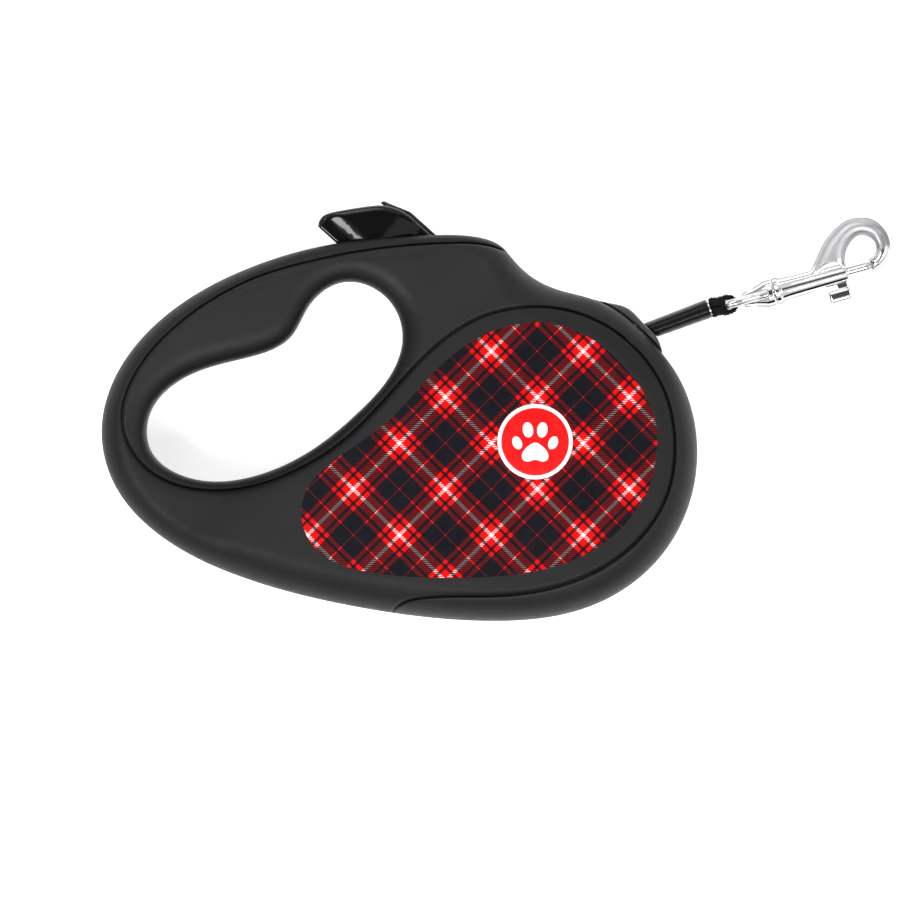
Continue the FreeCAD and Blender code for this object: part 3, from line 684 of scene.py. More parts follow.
def plastic(name, dark, light, rough, grain, depth, **sockets):
    """Moulded plastic: fine grain, slow colour drift and uneven gloss."""
    look = Look(name, dark, rough, **sockets)
    drift = look.noise(0.05, 3.0, 0.6)
    look.put("Base Color", look.mix(look.ramp(drift, 0.3, 0.7), dark, light))
    gloss = look.noise(0.35, 4.0, 0.65)
    look.put("Roughness", look.ramp(gloss, 0.25, 0.75, rough - 0.05, rough + 0.05))
    look.bump(look.noise(grain, 4.0, 0.6), depth)
    return look.material


def metal(name, colour, rough, depth=0.006, **sockets):
    look = Look(name, colour, rough, 1.0, **sockets)
    tint = look.noise(0.3, 3.0)
    darker = tuple(c * 0.86 for c in colour)
    look.put("Base Color", look.mix(look.ramp(tint, 0.3, 0.7), darker, colour))
    grain = look.noise(6.0, 4.0, 0.7)
    look.put("Roughness", look.ramp(grain, 0.3, 0.7, rough * 0.75, rough * 1.3))
    look.bump(look.noise(2.2, 5.0, 0.65), depth)
    return look.material


SOFT_BLACK = plastic("soft_touch_black", (0.0050, 0.0050, 0.0053), (0.0068, 0.0068, 0.0072), 0.54, 5.0, 0.014,
                     Specular_IOR_Level=0.19)
HOUSING_BLACK = plastic("housing_black", (0.0054, 0.0054, 0.0057), (0.0072, 0.0072, 0.0076), 0.50, 5.0, 0.012,
                        Specular_IOR_Level=0.22)
GLOSS_BLACK = plastic("gloss_black", (0.0025, 0.0025, 0.003), (0.004, 0.004, 0.0045), 0.11, 0.4, 0.003,
                      Specular_IOR_Level=0.25)
SLIDER_GREY = plastic("slider_grey", (0.010, 0.010, 0.011), (0.016, 0.016, 0.018), 0.35, 3.0, 0.01)
NOZZLE_GREY = plastic("nozzle_grey", (0.022, 0.023, 0.025), (0.030, 0.031, 0.034), 0.36, 6.0, 0.008)
SLEEVE_BLACK = plastic("sleeve_black", (0.003, 0.003, 0.0035), (0.005, 0.005, 0.0055), 0.27, 1.2, 0.005,
                       Specular_IOR_Level=0.13)
SPOOL_PLASTIC = plastic("spool_plastic", (0.30, 0.31, 0.32), (0.36, 0.37, 0.38), 0.4, 2.0, 0.01)
STEEL = metal("steel", (0.62, 0.62, 0.63), 0.28)
SCREW_STEEL = metal("screw_steel", (0.34, 0.34, 0.35), 0.34)
SPRING_STEEL = metal("spring_steel", (0.50, 0.50, 0.52), 0.26)
DARK_RIM = (0.12, 0.12, 0.13, 1)
CHROME_COLOUR = (0.68, 0.68, 0.69)
CHROME = metal("chrome", CHROME_COLOUR, 0.06, 0.0015, Specular_Tint=DARK_RIM)


def cast_chrome():
    """Polished along the barrel, satin over the bow, whose colour carries painted shade that darkens it towards its
    right end.
    """
    look = Look("cast_chrome", (0.84, 0.84, 0.85), 0.1, 1.0, Specular_Tint=DARK_RIM)
    side = direction(HOOK_ANGLE + 90)
    reach = look.node("VectorMath", operation="DOT_PRODUCT")
    look.feed(reach.inputs[0], look.mm)
    reach.inputs[1].default_value = (side[0], side[1], 0)
    base = float(np.dot(side, HOOK_ORIGIN))
    satin = look.ramp(reach.outputs["Value"], base + 2.6, base + 4.4)
    # painted shade: the bow's grey turns darker towards its right end, from x 90 to 97 mm
    bow = look.mix(look.ramp(look.axes()[0], 90, 97), (0.44, 0.44, 0.45), (0.24, 0.24, 0.25))
    grain = look.noise(3.5, 5.0, 0.7)
    rough = look.ramp(grain, 0.3, 0.7, 0.06, 0.13)
    look.put("Roughness", look.math("ADD", look.math("MULTIPLY", satin, 0.30), rough))
    look.put("Base Color", look.mix(satin, CHROME_COLOUR, bow))
    look.bump(look.math("MULTIPLY", grain, look.math("ADD", satin, 0.06)), 0.035)
    return look.material


CAST_CHROME = cast_chrome()


RIB_PITCH, PICK_PITCH = 0.9, 0.7


def webbing(name, dark, light, along_degrees):
    """Woven tape: ribs along the tape crossed by finer picks."""
    look = Look(name, dark, 0.85, Specular_IOR_Level=0.12)
    u, _, z = look.axes(look.turned(along_degrees))
    rib = look.math("SINE", look.math("MULTIPLY", z, 2 * math.pi / RIB_PITCH))
    shift = look.math("MULTIPLY", look.math("SIGN", rib), math.pi / 2)
    pick = look.math("SINE", look.math("ADD", look.math("MULTIPLY", u, 2 * math.pi / PICK_PITCH), shift))
    weave = look.math("ADD", look.math("MULTIPLY", rib, 0.4), look.math("MULTIPLY", pick, 0.6))
    fuzz = look.noise(9.0, 4.0, 0.7)
    height = look.math("ADD", weave, look.math("MULTIPLY", fuzz, 0.8))
    look.put("Base Color", look.mix(look.ramp(height, -0.6, 1.4), dark, light))
    look.bump(height, 0.09)
    return look.material


WEBBING = webbing("webbing", (0.0025, 0.0025, 0.003), (0.010, 0.010, 0.011), LEASH_ANGLE)


SETT = 18.1                              # millimetres between the stripes' repeats
CROSSING = (-13.7, 30.9)                 # where two white stripes cross
HATCH_PITCH = 0.56
WHITE, RED, BLACK = (0.92, 0.72, 0.72, 1), (0.95, 0.001, 0.002, 1), (0.022, 0.024, 0.040, 1)
STRIPES = ((0, WHITE), (0.45, RED), (2.35, BLACK), (3.25, RED), (4.3, BLACK), (8.88, RED))


def tartan():
    """Printed tartan at 45 degrees, with the twill's hatching where two stripes cross."""
    look = Look("printed_label", (0.01, 0.01, 0.015), 0.42, Specular_IOR_Level=0.07)
    x, y, _ = look.axes()
    root = math.sqrt(0.5)

    def stripe(way):
        """Colour of the stripes across one diagonal."""
        along = look.math("ADD", look.math("MULTIPLY", x, way * root), look.math("MULTIPLY", y, root))
        start = way * root * CROSSING[0] + root * CROSSING[1]
        wrapped = look.math("WRAP", along, start + SETT / 2, start - SETT / 2)
        far = look.math("ABSOLUTE", look.math("SUBTRACT", wrapped, start))
        node = look.node("ValToRGB")
        node.color_ramp.interpolation = "CONSTANT"
        look.feed(node.inputs[0], look.math("DIVIDE", far, SETT / 2))
        colour_stops(node, [(at / (SETT / 2), colour) for at, colour in STRIPES])
        return node.outputs[0]

    hatch = look.math("SINE", look.math("MULTIPLY", y, 2 * math.pi / HATCH_PITCH))
    pick = look.ramp(hatch, -0.25, 0.25)
    one, other = stripe(1), stripe(-1)
    both = look.math("MINIMUM", one, other)              # bright only where two coloured stripes cross
    dim = look.node("VectorMath", operation="SCALE")
    look.feed(dim.inputs[0], look.mix(pick, one, other))
    look.feed(dim.inputs["Scale"], look.ramp(both, 0.03, 0.3, 0.16, 1.0))
    fade = look.noise(0.12, 3.0)
    look.put("Base Color", look.mix(look.ramp(fade, 0.35, 0.8, 0.0, 0.03), dim.outputs[0], (0.05, 0.05, 0.06)))
    look.put("Roughness", look.ramp(look.noise(0.5, 3.0), 0.3, 0.7, 0.34, 0.44))
    look.bump(hatch, 0.004)
    return look.material


TARTAN = tartan()
BADGE_RED = plastic("badge_red", (0.78, 0.002, 0.003), (0.84, 0.003, 0.004), 0.22, 0.6, 0.002)
BADGE_PALE = plastic("badge_pale", (0.78, 0.78, 0.77), (0.84, 0.84, 0.83), 0.28, 1.0, 0.002)


# ---- casing --------------------------------------------------------------------------------------
def make_shells():
    """Housing, cover and label panel of the front half, then of the back half."""
    kinds = (("housing_shell_", "housing_", housing_levels, HOUSING_BLACK, "housing_black"),
             ("cover_shell_", "cover_", cover_levels, SOFT_BLACK, "soft_touch_black"),
             ("label_panel_", "label_", label_levels, TARTAN, "printed_label"))
    for half, way in (("front", 1), ("back", -1)):
        for name, node, levels, material, slot in kinds:
            shape = casing.build(lambda mask: levels(mask, way), way, rim_split, rim_pinch)
            mesh_object(name + half, shape, material, 35, slot, "housing", [node + half])


def slab(plan, levels):
    """Closed solid from the spans above and below the parting plane, joined in it."""
    halves = [plan.build(lambda mask, way=way: levels(mask, way), way, weld=True) for way in (1, -1)]
    return welded(*joined(*halves))


def button_polygon(pairs, step):
    return polygon(button_points(pairs), step)


def bevel_rings(loop, distances, gap=0.12, growth=0.05):
    """Loose points inside the loop, to carry a rounded edge."""
    return [(shifted(loop, -d), gap + growth * d) for d in distances]


CREST = [(-90.9, 8.4), (-91.2, 10.2), (-90.3, 12.4), (-88.1, 15.4), (-83.0, 21.6), (-80.8, 23.8), (-78.8, 25.1),
         (-75.8, 26.3), (-73.0, 26.8)]
BUTTON_HALF = 7.5
SHELF_HALF, ROD_HALF, RECESS_HALF, SLOT_HALF = 5.7, 9.2, 4.2, 2.3
CHAMFER_WIDTH, CHAMFER_SLOPE, HEEL_STEP = 1.5, 0.22, 0.75


def make_button():
    """The brake button: a hollow cap with a bevelled crest, a ledge under it and the plunger."""
    crest = spline(button_points(CREST), False, 0.35)
    rest = chain(button_points([CREST[-1], (-62.6, 26.8), (-78.3, 7.4), (-90.2, 7.4), CREST[0]]), 0.7)
    loop = np.vstack([crest[:-1], rest])
    inner = button_polygon([(-86.5, 10), (-82, 17), (-76, 22.5), (-74, 23.4), (-60, 23.4), (-76, 9.6)], 1.5)
    ledge = button_polygon([(-77, 17), (-55.0, 20), (-55.0, 24.8), (-70, 24.8)], 1.5)
    plunger = button_polygon([(-59, 19.2), (-55.0, 20.2), (-55.0, 24.8), (-59, 24.8)], 1.5)
    pocket = button_polygon([(-94, 24.0), (-71.2, 24.0), (-71.2, 28), (-94, 28)], 1.0)
    tongue = button_polygon([(-76, 23), (-66.0, 23), (-66.0, 28), (-76, 28)], 1.0)
    cap, hollow, shelf, rod, recess, slot = 1, 2, 4, 8, 16, 32
    bevel = bevel_rings(loop, (0.12, 0.3, 0.55, 0.9, 1.3, 1.7, 1.95, 2.2, 2.6, 3.4))
    plan = Plan([(line, True) for line in (loop, inner, ledge, plunger, pocket, tongue)], bevel, 1.3,
                lambda points: inside(points, loop) | inside(points, ledge),
                {cap: loop, hollow: inner, shelf: ledge, rod: plunger, recess: pocket, slot: tongue})
    points = plan.points
    far = Edge(loop).distance(points)
    from_crest = Edge(crest, False).distance(points)
    s = points @ direction(BUTTON_ANGLE)
    t = points @ direction(BUTTON_ANGLE + 90)
    chamfer = np.clip(CHAMFER_WIDTH - from_crest, 0, None) * CHAMFER_SLOPE
    heel = HEEL_STEP * (1 - smooth(t, 10.2, 14.6))             # the face steps down gently to the rear
    brow = 0.06 * np.clip(s + 76, 0, None) ** 1.5
    top = BUTTON_HALF - roll(far, 0.8, 0.7) - chamfer - heel - np.clip(brow, 0, 1.2)
    zero = np.zeros(len(points))

    def levels(mask, way):
        if not mask & cap:
            if mask & rod and way > 0:
                return zero, zero + ROD_HALF
            return (zero, zero + SHELF_HALF) if mask & shelf else None
        low = zero + SHELF_HALF if mask & hollow and not mask & shelf else zero
        if mask & recess:
            low = np.maximum(low, RECESS_HALF)
        if mask & slot:
            low = np.maximum(low, SLOT_HALF)
        return np.minimum(low, top), top

    mesh_object("button_cap", slab(plan, levels), GLOSS_BLACK, 25, "gloss_black", "brake_button", ["brake_button"])


def make_slider():
    """Lock slider: a thin strip with a rounded thumb end and a tongue below."""
    outline = [(-81.6, 24.1), (-81.75, 24.5), (-81.2, 25.1), (-80.4, 25.35), (-79.6, 25.6), (-74.2, 27.6),
               (-73.4, 27.75), (-64.0, 27.75), (-63.6, 27.5), (-63.6, 26.85), (-74.4, 26.85), (-74.4, 24.1)]
    loop = button_polygon(outline, 0.4)
    tongue = button_polygon([(-75.2, 24.1), (-69.5, 24.1), (-69.5, 27.0), (-75.2, 27.0)], 0.8)
    strip, key = 1, 2
    plan = Plan([(loop, True), (tongue, True)], bevel_rings(loop, (0.1, 0.22), 0.1, 0), 0.7,
                lambda points: inside(points, loop) | inside(points, tongue), {strip: loop, key: tongue})
    far = Edge(loop).distance(plan.points)
    top = 4.0 - roll(far, 0.35, 0.3)
    zero = np.zeros(len(far))

    def levels(mask, way):
        if mask & strip:
            return zero, top
        return (zero, zero + 2.2) if mask & key else None

    mesh_object("lock_strip", slab(plan, levels), SLIDER_GREY, 30, "slider_grey", "lock_slider", ["lock_slider"])


def make_nozzle():
    """Nozzle wedge: bevelled along its outer curve, open in the middle for the tape and the roller."""
    curve = spline(NOZZLE_CURVE, False, 0.3)
    low_side = chain([NOZZLE_CURVE[-1]] + NOZZLE_BACK + [NOZZLE_CURVE[0]], 0.6)
    loop = np.vstack([curve[:-1], low_side])
    way_in = polygon([(10, 34.6), (26.4, 33.2), (26.4, 37.6), (10, 39.4)], 1.0)
    corners = ((-2.5, -1.9), (12, -1.9), (12, 1.9), (-2.5, 1.9))
    mouth = polygon([on_line(TAPE_BEND, LEASH_ANGLE, u, v) for u, v in corners], 0.7)
    seat = circle(ROLLER, 2.5, 28)
    body, slot = 1, 2
    bevel = bevel_rings(loop, (0.1, 0.25, 0.5, 0.8, 1.2, 1.7, 2.3, 3.0, 3.8))
    near = np.linalg.norm(sil_fine - np.array([25.0, 38.0]), axis=1) < 16
    bevel += [(shifted(sil_fine, d)[near], 0.12) for d in (-0.1, 0.12, 0.34, 0.56, 0.8)]
    plan = Plan([(line, True) for line in (loop, way_in, mouth, seat)], bevel, 1.0,
                lambda points: inside(points, loop), {body: loop, slot: [way_in, mouth, seat]})
    points = plan.points
    far = Edge(curve, False).distance(points)
    fall = 0.34 * np.clip(4.2 - far, 0, None) * (1 - smooth(points[:, 0], 30, 33.5))
    groove = 1.8 * (1 - smooth(Edge(sil_fine[near], False).distance(points), 0.3, 0.6))
    top = 9.0 - roll(far, 1.0, 0.8) - fall - groove
    zero = np.zeros(len(points))

    def levels(mask, way):
        if not mask & body:
            return None
        return np.minimum(zero + 5.5 if mask & slot else zero, top), top

    mesh_object("nozzle_wedge", slab(plan, levels), NOZZLE_GREY, 28, "nozzle_grey", "housing", ["nozzle"])


# ---- badge ---------------------------------------------------------------------------------------
BADGE_CENTRE = (-1.5, 5.7)
BADGE_RADIUS, FIELD_RADIUS = 10.5, 9.5
CROWN = 0.1                              # how much lower the field is at its edge


def dome(name, loop, low, high, round_width, material, sag=CROWN, replaces=()):
    """Flat piece over a closed loop with a rounded upper edge; sag lets its top follow a low dome."""
    rings = bevel_rings(loop, [round_width * part for part in (0.12, 0.35, 0.7, 1)], 0.06, 0)
    plan = Plan([(loop, True)], rings, 0.8, lambda points: inside(points, loop), {1: loop})
    far = Edge(loop).distance(plan.points)
    top = high - MID_Z - roll(far, round_width, (high - low) * 0.75)
    top = top - sag * np.sum((plan.points - np.array(BADGE_CENTRE)) ** 2, 1) / FIELD_RADIUS ** 2
    foot = np.full(len(far), low - MID_Z)
    shape = plan.build(lambda mask: (foot, top) if mask & 1 else None, 1)
    mesh_object(name, shape, material, 40, "badge_red", "housing", replaces)


def oval(centre, a, b, turn, count=36):
    t = angles(count)
    u, v = a * np.cos(t), b * np.sin(t)
    c, s = math.cos(math.radians(turn)), math.sin(math.radians(turn))
    return np.stack([centre[0] + u * c - v * s, centre[1] + u * s + v * c], 1)


def make_badge():
    """Round enamel badge: a pale rim, a red field and a plain paw mark."""
    cx, cy = BADGE_CENTRE
    dome("badge_rim", circle(BADGE_CENTRE, BADGE_RADIUS, 132), 34.0, 34.26, 0.3, BADGE_PALE, 0, ["badge"])
    dome("badge_field", circle(BADGE_CENTRE, FIELD_RADIUS, 120), 34.2, 34.46, 0.3, BADGE_RED)
    half = [(1.9, -1.1), (3.5, -3.0), (3.6, -4.8), (2.2, -5.6)]
    pad = [(0, -0.2)] + half + [(0, -5.1)] + [(-x, y) for x, y in reversed(half)]
    dome("badge_paw_pad", spline([(cx + x, cy + y) for x, y in pad], True, 0.35), 34.3, 34.55, 0.25, BADGE_PALE)
    toes = [(-5.0, -0.3, 1.35, 1.95, 24), (-2.0, 3.3, 1.5, 2.2, 8), (2.0, 3.3, 1.5, 2.2, -8),
            (5.0, -0.3, 1.35, 1.95, -24)]
    for number, (x, y, a, b, turn) in enumerate(toes):
        dome(f"badge_paw_toe_{number}", oval((cx + x, cy + y), a, b, turn), 34.3, 34.55, 0.25, BADGE_PALE)


# ---- swept and turned shapes ---------------------------------------------------------------------
def skin(sections):
    """Closed shape over rings of equally many points, capped at both ends."""
    verts = [tuple(p) for ring in sections for p in ring]
    count = len(sections[0])
    faces = []
    for a in range(0, len(verts) - count, count):
        for k in range(count):
            n = (k + 1) % count
            faces.append([a + k, a + n, a + count + n, a + count + k])
    faces.append(list(range(count))[::-1])
    faces.append(list(range(len(verts) - count, len(verts))))
    return verts, faces


UP = np.array([0, 0, 1.0])


def lathe(profile, count=40):
    """Turned shape: profile pairs (u, radius) along the hook's line."""
    centre_line = np.append(on_line(HOOK_ORIGIN, HOOK_ANGLE, 0, 0), MID_Z)
    d = np.append(direction(HOOK_ANGLE), 0)
    left = np.append(direction(HOOK_ANGLE + 90), 0)
    rings = []
    for u, r in profile:
        centre = centre_line + d * u
        rings.append([centre + left * r * math.cos(a) + UP * r * math.sin(a) for a in angles(count)])
    return skin(rings)


def tube(path, radii, count=20):
    """Round tube along 3-D points."""
    path = np.array(path, float)
    tangent = np.gradient(path, axis=0)
    tangent /= np.linalg.norm(tangent, axis=1)[:, None]
    normal = np.cross(tangent[0], [0.31, 0.17, 0.93])       # any direction that the tubes don't run in
    normal /= np.linalg.norm(normal)
    rings = []
    for p, d, r in zip(path, tangent, np.broadcast_to(radii, (len(path),))):
        normal = normal - d * np.dot(normal, d)
        normal /= np.linalg.norm(normal)
        other = np.cross(d, normal)
        rings.append([p + r * (normal * math.cos(a) + other * math.sin(a)) for a in angles(count)])
    return skin(rings)


def superellipse(count, half_a, half_b, power):
    t = angles(count)
    c, s = np.cos(t), np.sin(t)
    a = np.sign(c) * np.abs(c) ** (2 / power) * half_a
    return list(zip(a, np.sign(s) * np.abs(s) ** (2 / power) * half_b))


def leash_point(u, v, z):
    x, y = on_line(SLEEVE_START, LEASH_ANGLE, u, v)
    return (x, y, z)


SLEEVE_POWER = 2.6
SLEEVE_HALF_Z = 6.0


def make_sleeve():
    """Flat heat-shrunk sleeve with rolled ends and faint wrap ridges, and the bright ring at its end."""
    stations = [(-0.02, 0.80), (0.0, 0.93), (0.18, 0.985), (0.45, 1.0)]
    stations += [(u, 1.0 + 0.006 * math.sin(u * 2.1) + 0.004 * math.sin(u * 5.3 + 1))
                 for u in np.linspace(0.9, 15.5, 40)]
    stations += [(15.9, 0.99), (16.12, 0.96), (16.2, 0.86)]
    rings = []
    for u, factor in stations:
        half_v = (2.45 + 0.3 * max(u, 0) / SLEEVE_LENGTH) * factor
        half_z = SLEEVE_HALF_Z * (1 - (1 - factor) * 0.45)
        lean = 1 - smooth(u, 0, 7)                          # the inner end is cut on a slant
        rings.append([leash_point(u - (0.97 + 0.456 * a) * lean, a, MID_Z + b)
                      for a, b in superellipse(56, half_v, half_z, SLEEVE_POWER)])
    mesh_object("sleeve_tube", skin(rings), SLEEVE_BLACK, 40, "sleeve_black", "leash_end", ["sleeve"])
    rings = []
    for u, factor in ((16.22, 0.9), (16.24, 0.975), (16.32, 1.0), (16.58, 1.0), (16.68, 0.97), (16.7, 0.9)):
        rings.append([leash_point(u, a, MID_Z + b)
                      for a, b in superellipse(56, 2.86 * factor, 6.16 * factor, SLEEVE_POWER)])
    mesh_object("sleeve_ring", skin(rings), STEEL, 30, "steel", "leash_end", ["sleeve_rim"])


RING_BAR = -13.2


WEBBING_HALF = 4.75
HAIRS = 1300


def make_loop():
    """Leash webbing folded round the ring bar: two plies that part around it, with a fuzzy edge."""
    rng = np.random.default_rng(7)
    half = WEBBING_HALF
    bar = on_line(HOOK_ORIGIN, HOOK_ANGLE, RING_BAR, 0)
    start = on_line(SLEEVE_START, LEASH_ANGLE, SLEEVE_LENGTH + 0.55, 0)
    ahead = bar - start
    ahead /= np.linalg.norm(ahead)
    left = np.array([-ahead[1], ahead[0]])
    reach = float(np.dot(bar - start, ahead))
    legs = np.linspace(reach, 0, 20)[:-1]
    around = [left * math.cos(a) + ahead * math.sin(a) for a in np.linspace(0, math.pi, 26)]

    def ply(offset, radius):
        """One face of the webbing: out along a leg, round the bar and back."""
        leg = [start + ahead * (reach - w) + left * offset(w) for w in legs]
        return np.array(leg + [bar + d * radius for d in around]
                        + [p - 2 * left * np.dot(p - start, left) for p in leg[::-1]])

    outer = ply(lambda w: 2.5 + 0.12 * math.sin(w * 1.7), 2.52)
    inner = ply(lambda w: math.sqrt(max(1.4 ** 2 - w ** 2, 0)) + 0.03, 1.41)
    line, half_thick = (outer + inner) / 2, (outer - inner) / 2
    tangent = np.gradient(outer, axis=0)
    tangent /= np.linalg.norm(tangent, axis=1)[:, None]
    out = half_thick / np.linalg.norm(half_thick, axis=1)[:, None]
    across = np.linspace(-half, half, 41)
    rings = []
    for i, (p, n) in enumerate(zip(line, half_thick)):
        ring = []
        for side in (1, -1):
            for k, z in enumerate(across[::side]):
                weave = 0.05 * math.sin(i * 1.6 + (math.pi if k % 2 else 0)) + rng.normal(0, 0.012)
                edge = 1 - 0.2 * smooth(abs(z), half - 0.5, half)
                q = p + n * side * edge + out[i] * side * weave * (side > 0)
                ring.append((q[0], q[1], MID_Z + z + (rng.normal(0, 0.05) if abs(z) > half - 0.3 else 0)))
        rings.append(ring)
    mesh_object("leash_fold", skin(rings), WEBBING, 60, "webbing", "leash_end", ["webbing_loop"])
    hairs = []
    for _ in range(HAIRS):
        i = int(rng.integers(1, len(line) - 1))
        up = 0.0
        if rng.random() < 0.6:
            up = 1.0 if rng.random() < 0.6 else -1.0
            base = np.array([*(line[i] + half_thick[i] * rng.uniform(-0.9, 0.95)), MID_Z + up * (half - 0.05)])
        else:
            base = np.array([*(line[i] + half_thick[i] * 0.92), MID_Z + rng.uniform(-half, half)])
        aim = np.array([*out[i], 0]) * (1 - 0.7 * abs(up)) + np.array([0, 0, up * 0.8])
        aim = aim + np.append(tangent[i], 0) * rng.normal(0, 0.8) + rng.normal(0, 0.35, 3)
        aim /= np.linalg.norm(aim)
        length = rng.uniform(0.2, 0.55)
        curl = rng.normal(0, 0.15, 3)
        hair = [base, base + aim * length * 0.5 + curl * 0.3, base + aim * length + curl]
        hairs.append(tube(hair, [0.045, 0.038, 0.015], 4))
    mesh_object("leash_fold_fuzz", joined(*hairs), WEBBING, 60, "webbing", "leash_end")


def solid_of(parts, cutters, voxel, name, smooth_steps):
    """One mesh from overlapping closed parts: fused by voxels, smoothed, and cut."""
    obj = linked(name + "_raw", raw_mesh(name + "_raw", *joined(*parts)))
    remesh = obj.modifiers.new("fuse", "REMESH")
    remesh.mode = "VOXEL"
    remesh.voxel_size = voxel * MM
    settle = obj.modifiers.new("settle", "SMOOTH")
    settle.factor = 0.5
    settle.iterations = smooth_steps
    tools = []
    for number, shape in enumerate(cutters):
        tool = linked(f"{name}_cut_{number}", raw_mesh(f"{name}_cut_{number}", *shape))
        cut = obj.modifiers.new(f"cut{number}", "BOOLEAN")
        cut.operation = "DIFFERENCE"
        cut.solver = "EXACT"
        cut.object = tool
        tools.append(tool)
    bpy.context.view_layer.update()
    graph = bpy.context.evaluated_depsgraph_get()
    done = bpy.data.meshes.new_from_object(obj.evaluated_get(graph))
    for used in tools + [obj]:
        bpy.data.objects.remove(used)
    done.name = name
    return done


def hook_point(u, v, z=0.0):
    x, y = on_line(HOOK_ORIGIN, HOOK_ANGLE, u, v)
    return (x, y, MID_Z + z)


def hook_box(u0, u1, v0, v1, half_z):
    """Box along the hook's line."""
    corners = [hook_point(u, v, z) for z in (-half_z, half_z)
               for u, v in ((u0, v0), (u1, v0), (u1, v1), (u0, v1))]
    return corners, [[3, 2, 1, 0], [4, 5, 6, 7], [0, 1, 5, 4], [1, 2, 6, 5], [2, 3, 7, 6], [3, 0, 4, 7]]


BOW_OUT = [(9.4, 1.0), (11.8, 3.2), (16.5, 8.7), (20.8, 12.1), (25.2, 13.8), (28.4, 13.6), (31.8, 12.2),
           (34.2, 9.0), (34.9, 5.6), (34.2, 2.4), (31.8, -0.5), (28.2, -1.6)]
BOW_IN = [(28.2, 1.6), (29.6, 2.1), (31.0, 3.9), (31.1, 6.0), (29.4, 8.3), (27.0, 9.1), (24.0, 7.6), (22.0, 5.1),
          (21.2, 1.0)]


BOW_FULLER = 0.22
BOW_HALF, BOW_WIDTH, BOW_POWER = 2.85, 2.55, 2.05
BARREL = [(0.02, 3.3), (0.05, 3.6), (0.25, 3.82), (1.5, 3.82), (1.75, 3.6), (1.9, 3.42), (2.3, 3.34), (3.4, 3.22),
          (5.0, 3.12), (9.0, 3.02), (16.0, 2.9), (20.6, 2.82), (21.15, 2.7), (21.38, 2.35), (21.4, 1.4)]
BOLT = [(13.4, 0.9), (13.5, 1.15), (13.8, 1.22), (26.9, 1.22), (27.5, 1.15), (27.85, 0.95), (28.0, 0.6)]
BOLT_BORE = [(6.4, 1.32), (28.1, 1.32)]
RIVET_BORE = [(-1.0, 1.56), (3.2, 1.56), (3.2, 2.16), (4.5, 2.16)]
HOOK_VOXEL, GATE_VOXEL, EYE_VOXEL = 0.16, 0.12, 0.15


def make_hook():
    """Snap hook casting: barrel with a collar, and a bow with an oval section that swells over its back."""
    outer_curve = spline([on_line(HOOK_ORIGIN, HOOK_ANGLE, u, v) for u, v in BOW_OUT], False, 0.25)
    inner_curve = spline([on_line(HOOK_ORIGIN, HOOK_ANGLE, u, v) for u, v in BOW_IN], False, 0.25)
    tip = chain([outer_curve[-1], inner_curve[0]], 0.3)[1:]
    root = chain([inner_curve[-1], outer_curve[0]], 0.4)[1:]
    loop = shifted(np.vstack([outer_curve, tip, inner_curve, root]), BOW_FULLER)
    rings = bevel_rings(loop, (0.05, 0.15, 0.3, 0.5, 0.8, 1.2, 1.6, 2.1, 2.7), 0.1, 0.03)
    plan = Plan([(loop, True)], rings, 0.6, lambda points: inside(points, loop), {1: loop})
    points = plan.points
    u, v = ((points - np.array(HOOK_ORIGIN)) @ np.stack([direction(HOOK_ANGLE), direction(HOOK_ANGLE + 90)], 1)).T
    slim = np.clip(smooth(u, 27, 34) * (1 - smooth(v, 6, 12)) + smooth(u, 31, 34.5) * 0.3, 0, 1)
    web = 1 - smooth(u, 19, 27)
    half = BOW_HALF - 0.75 * slim
    width = BOW_WIDTH + 0.9 * web - 0.55 * slim
    rise = np.clip(1 - Edge(loop).distance(points) / width, 0, 1)
    top = np.maximum(half * (1 - rise ** BOW_POWER) ** (1 / BOW_POWER), 0.02)
    zero = np.zeros(len(points))
    bow = slab(plan, lambda mask, way: (zero, top) if mask & 1 else None)
    cutters = [lathe(BOLT_BORE, 32), hook_box(11.4, 20.9, -4.5, 0.0, 0.9), lathe(RIVET_BORE, 32)]
    mesh = solid_of([bow, lathe(BARREL, 64)], cutters, HOOK_VOXEL, "snap_hook_casting", 9)
    placed("snap_hook_casting", mesh, CAST_CHROME, 50, "chrome", "snap_hook", ["snap_casting"])


def make_gate():
    """Gate bolt with its stem and thumb pad."""
    stem = hook_box(17.4, 20.4, -4.8, -0.2, 0.72)
    rings = []
    for u, factor in ((14.55, 0.55), (14.7, 0.8), (15.0, 0.93), (15.4, 1.0), (20.1, 1.0), (20.5, 0.93), (20.8, 0.75)):
        rings.append([hook_point(u, a - 5.8, b) for a, b in superellipse(40, 1.75 * factor, 1.3 * factor, 3.4)])
    mesh = solid_of([lathe(BOLT, 32), stem, skin(rings)], [], GATE_VOXEL, "gate_bolt_pin", 3)
    placed("gate_bolt_pin", mesh, CHROME, 50, "chrome", "gate_bolt", ["gate_bolt"])


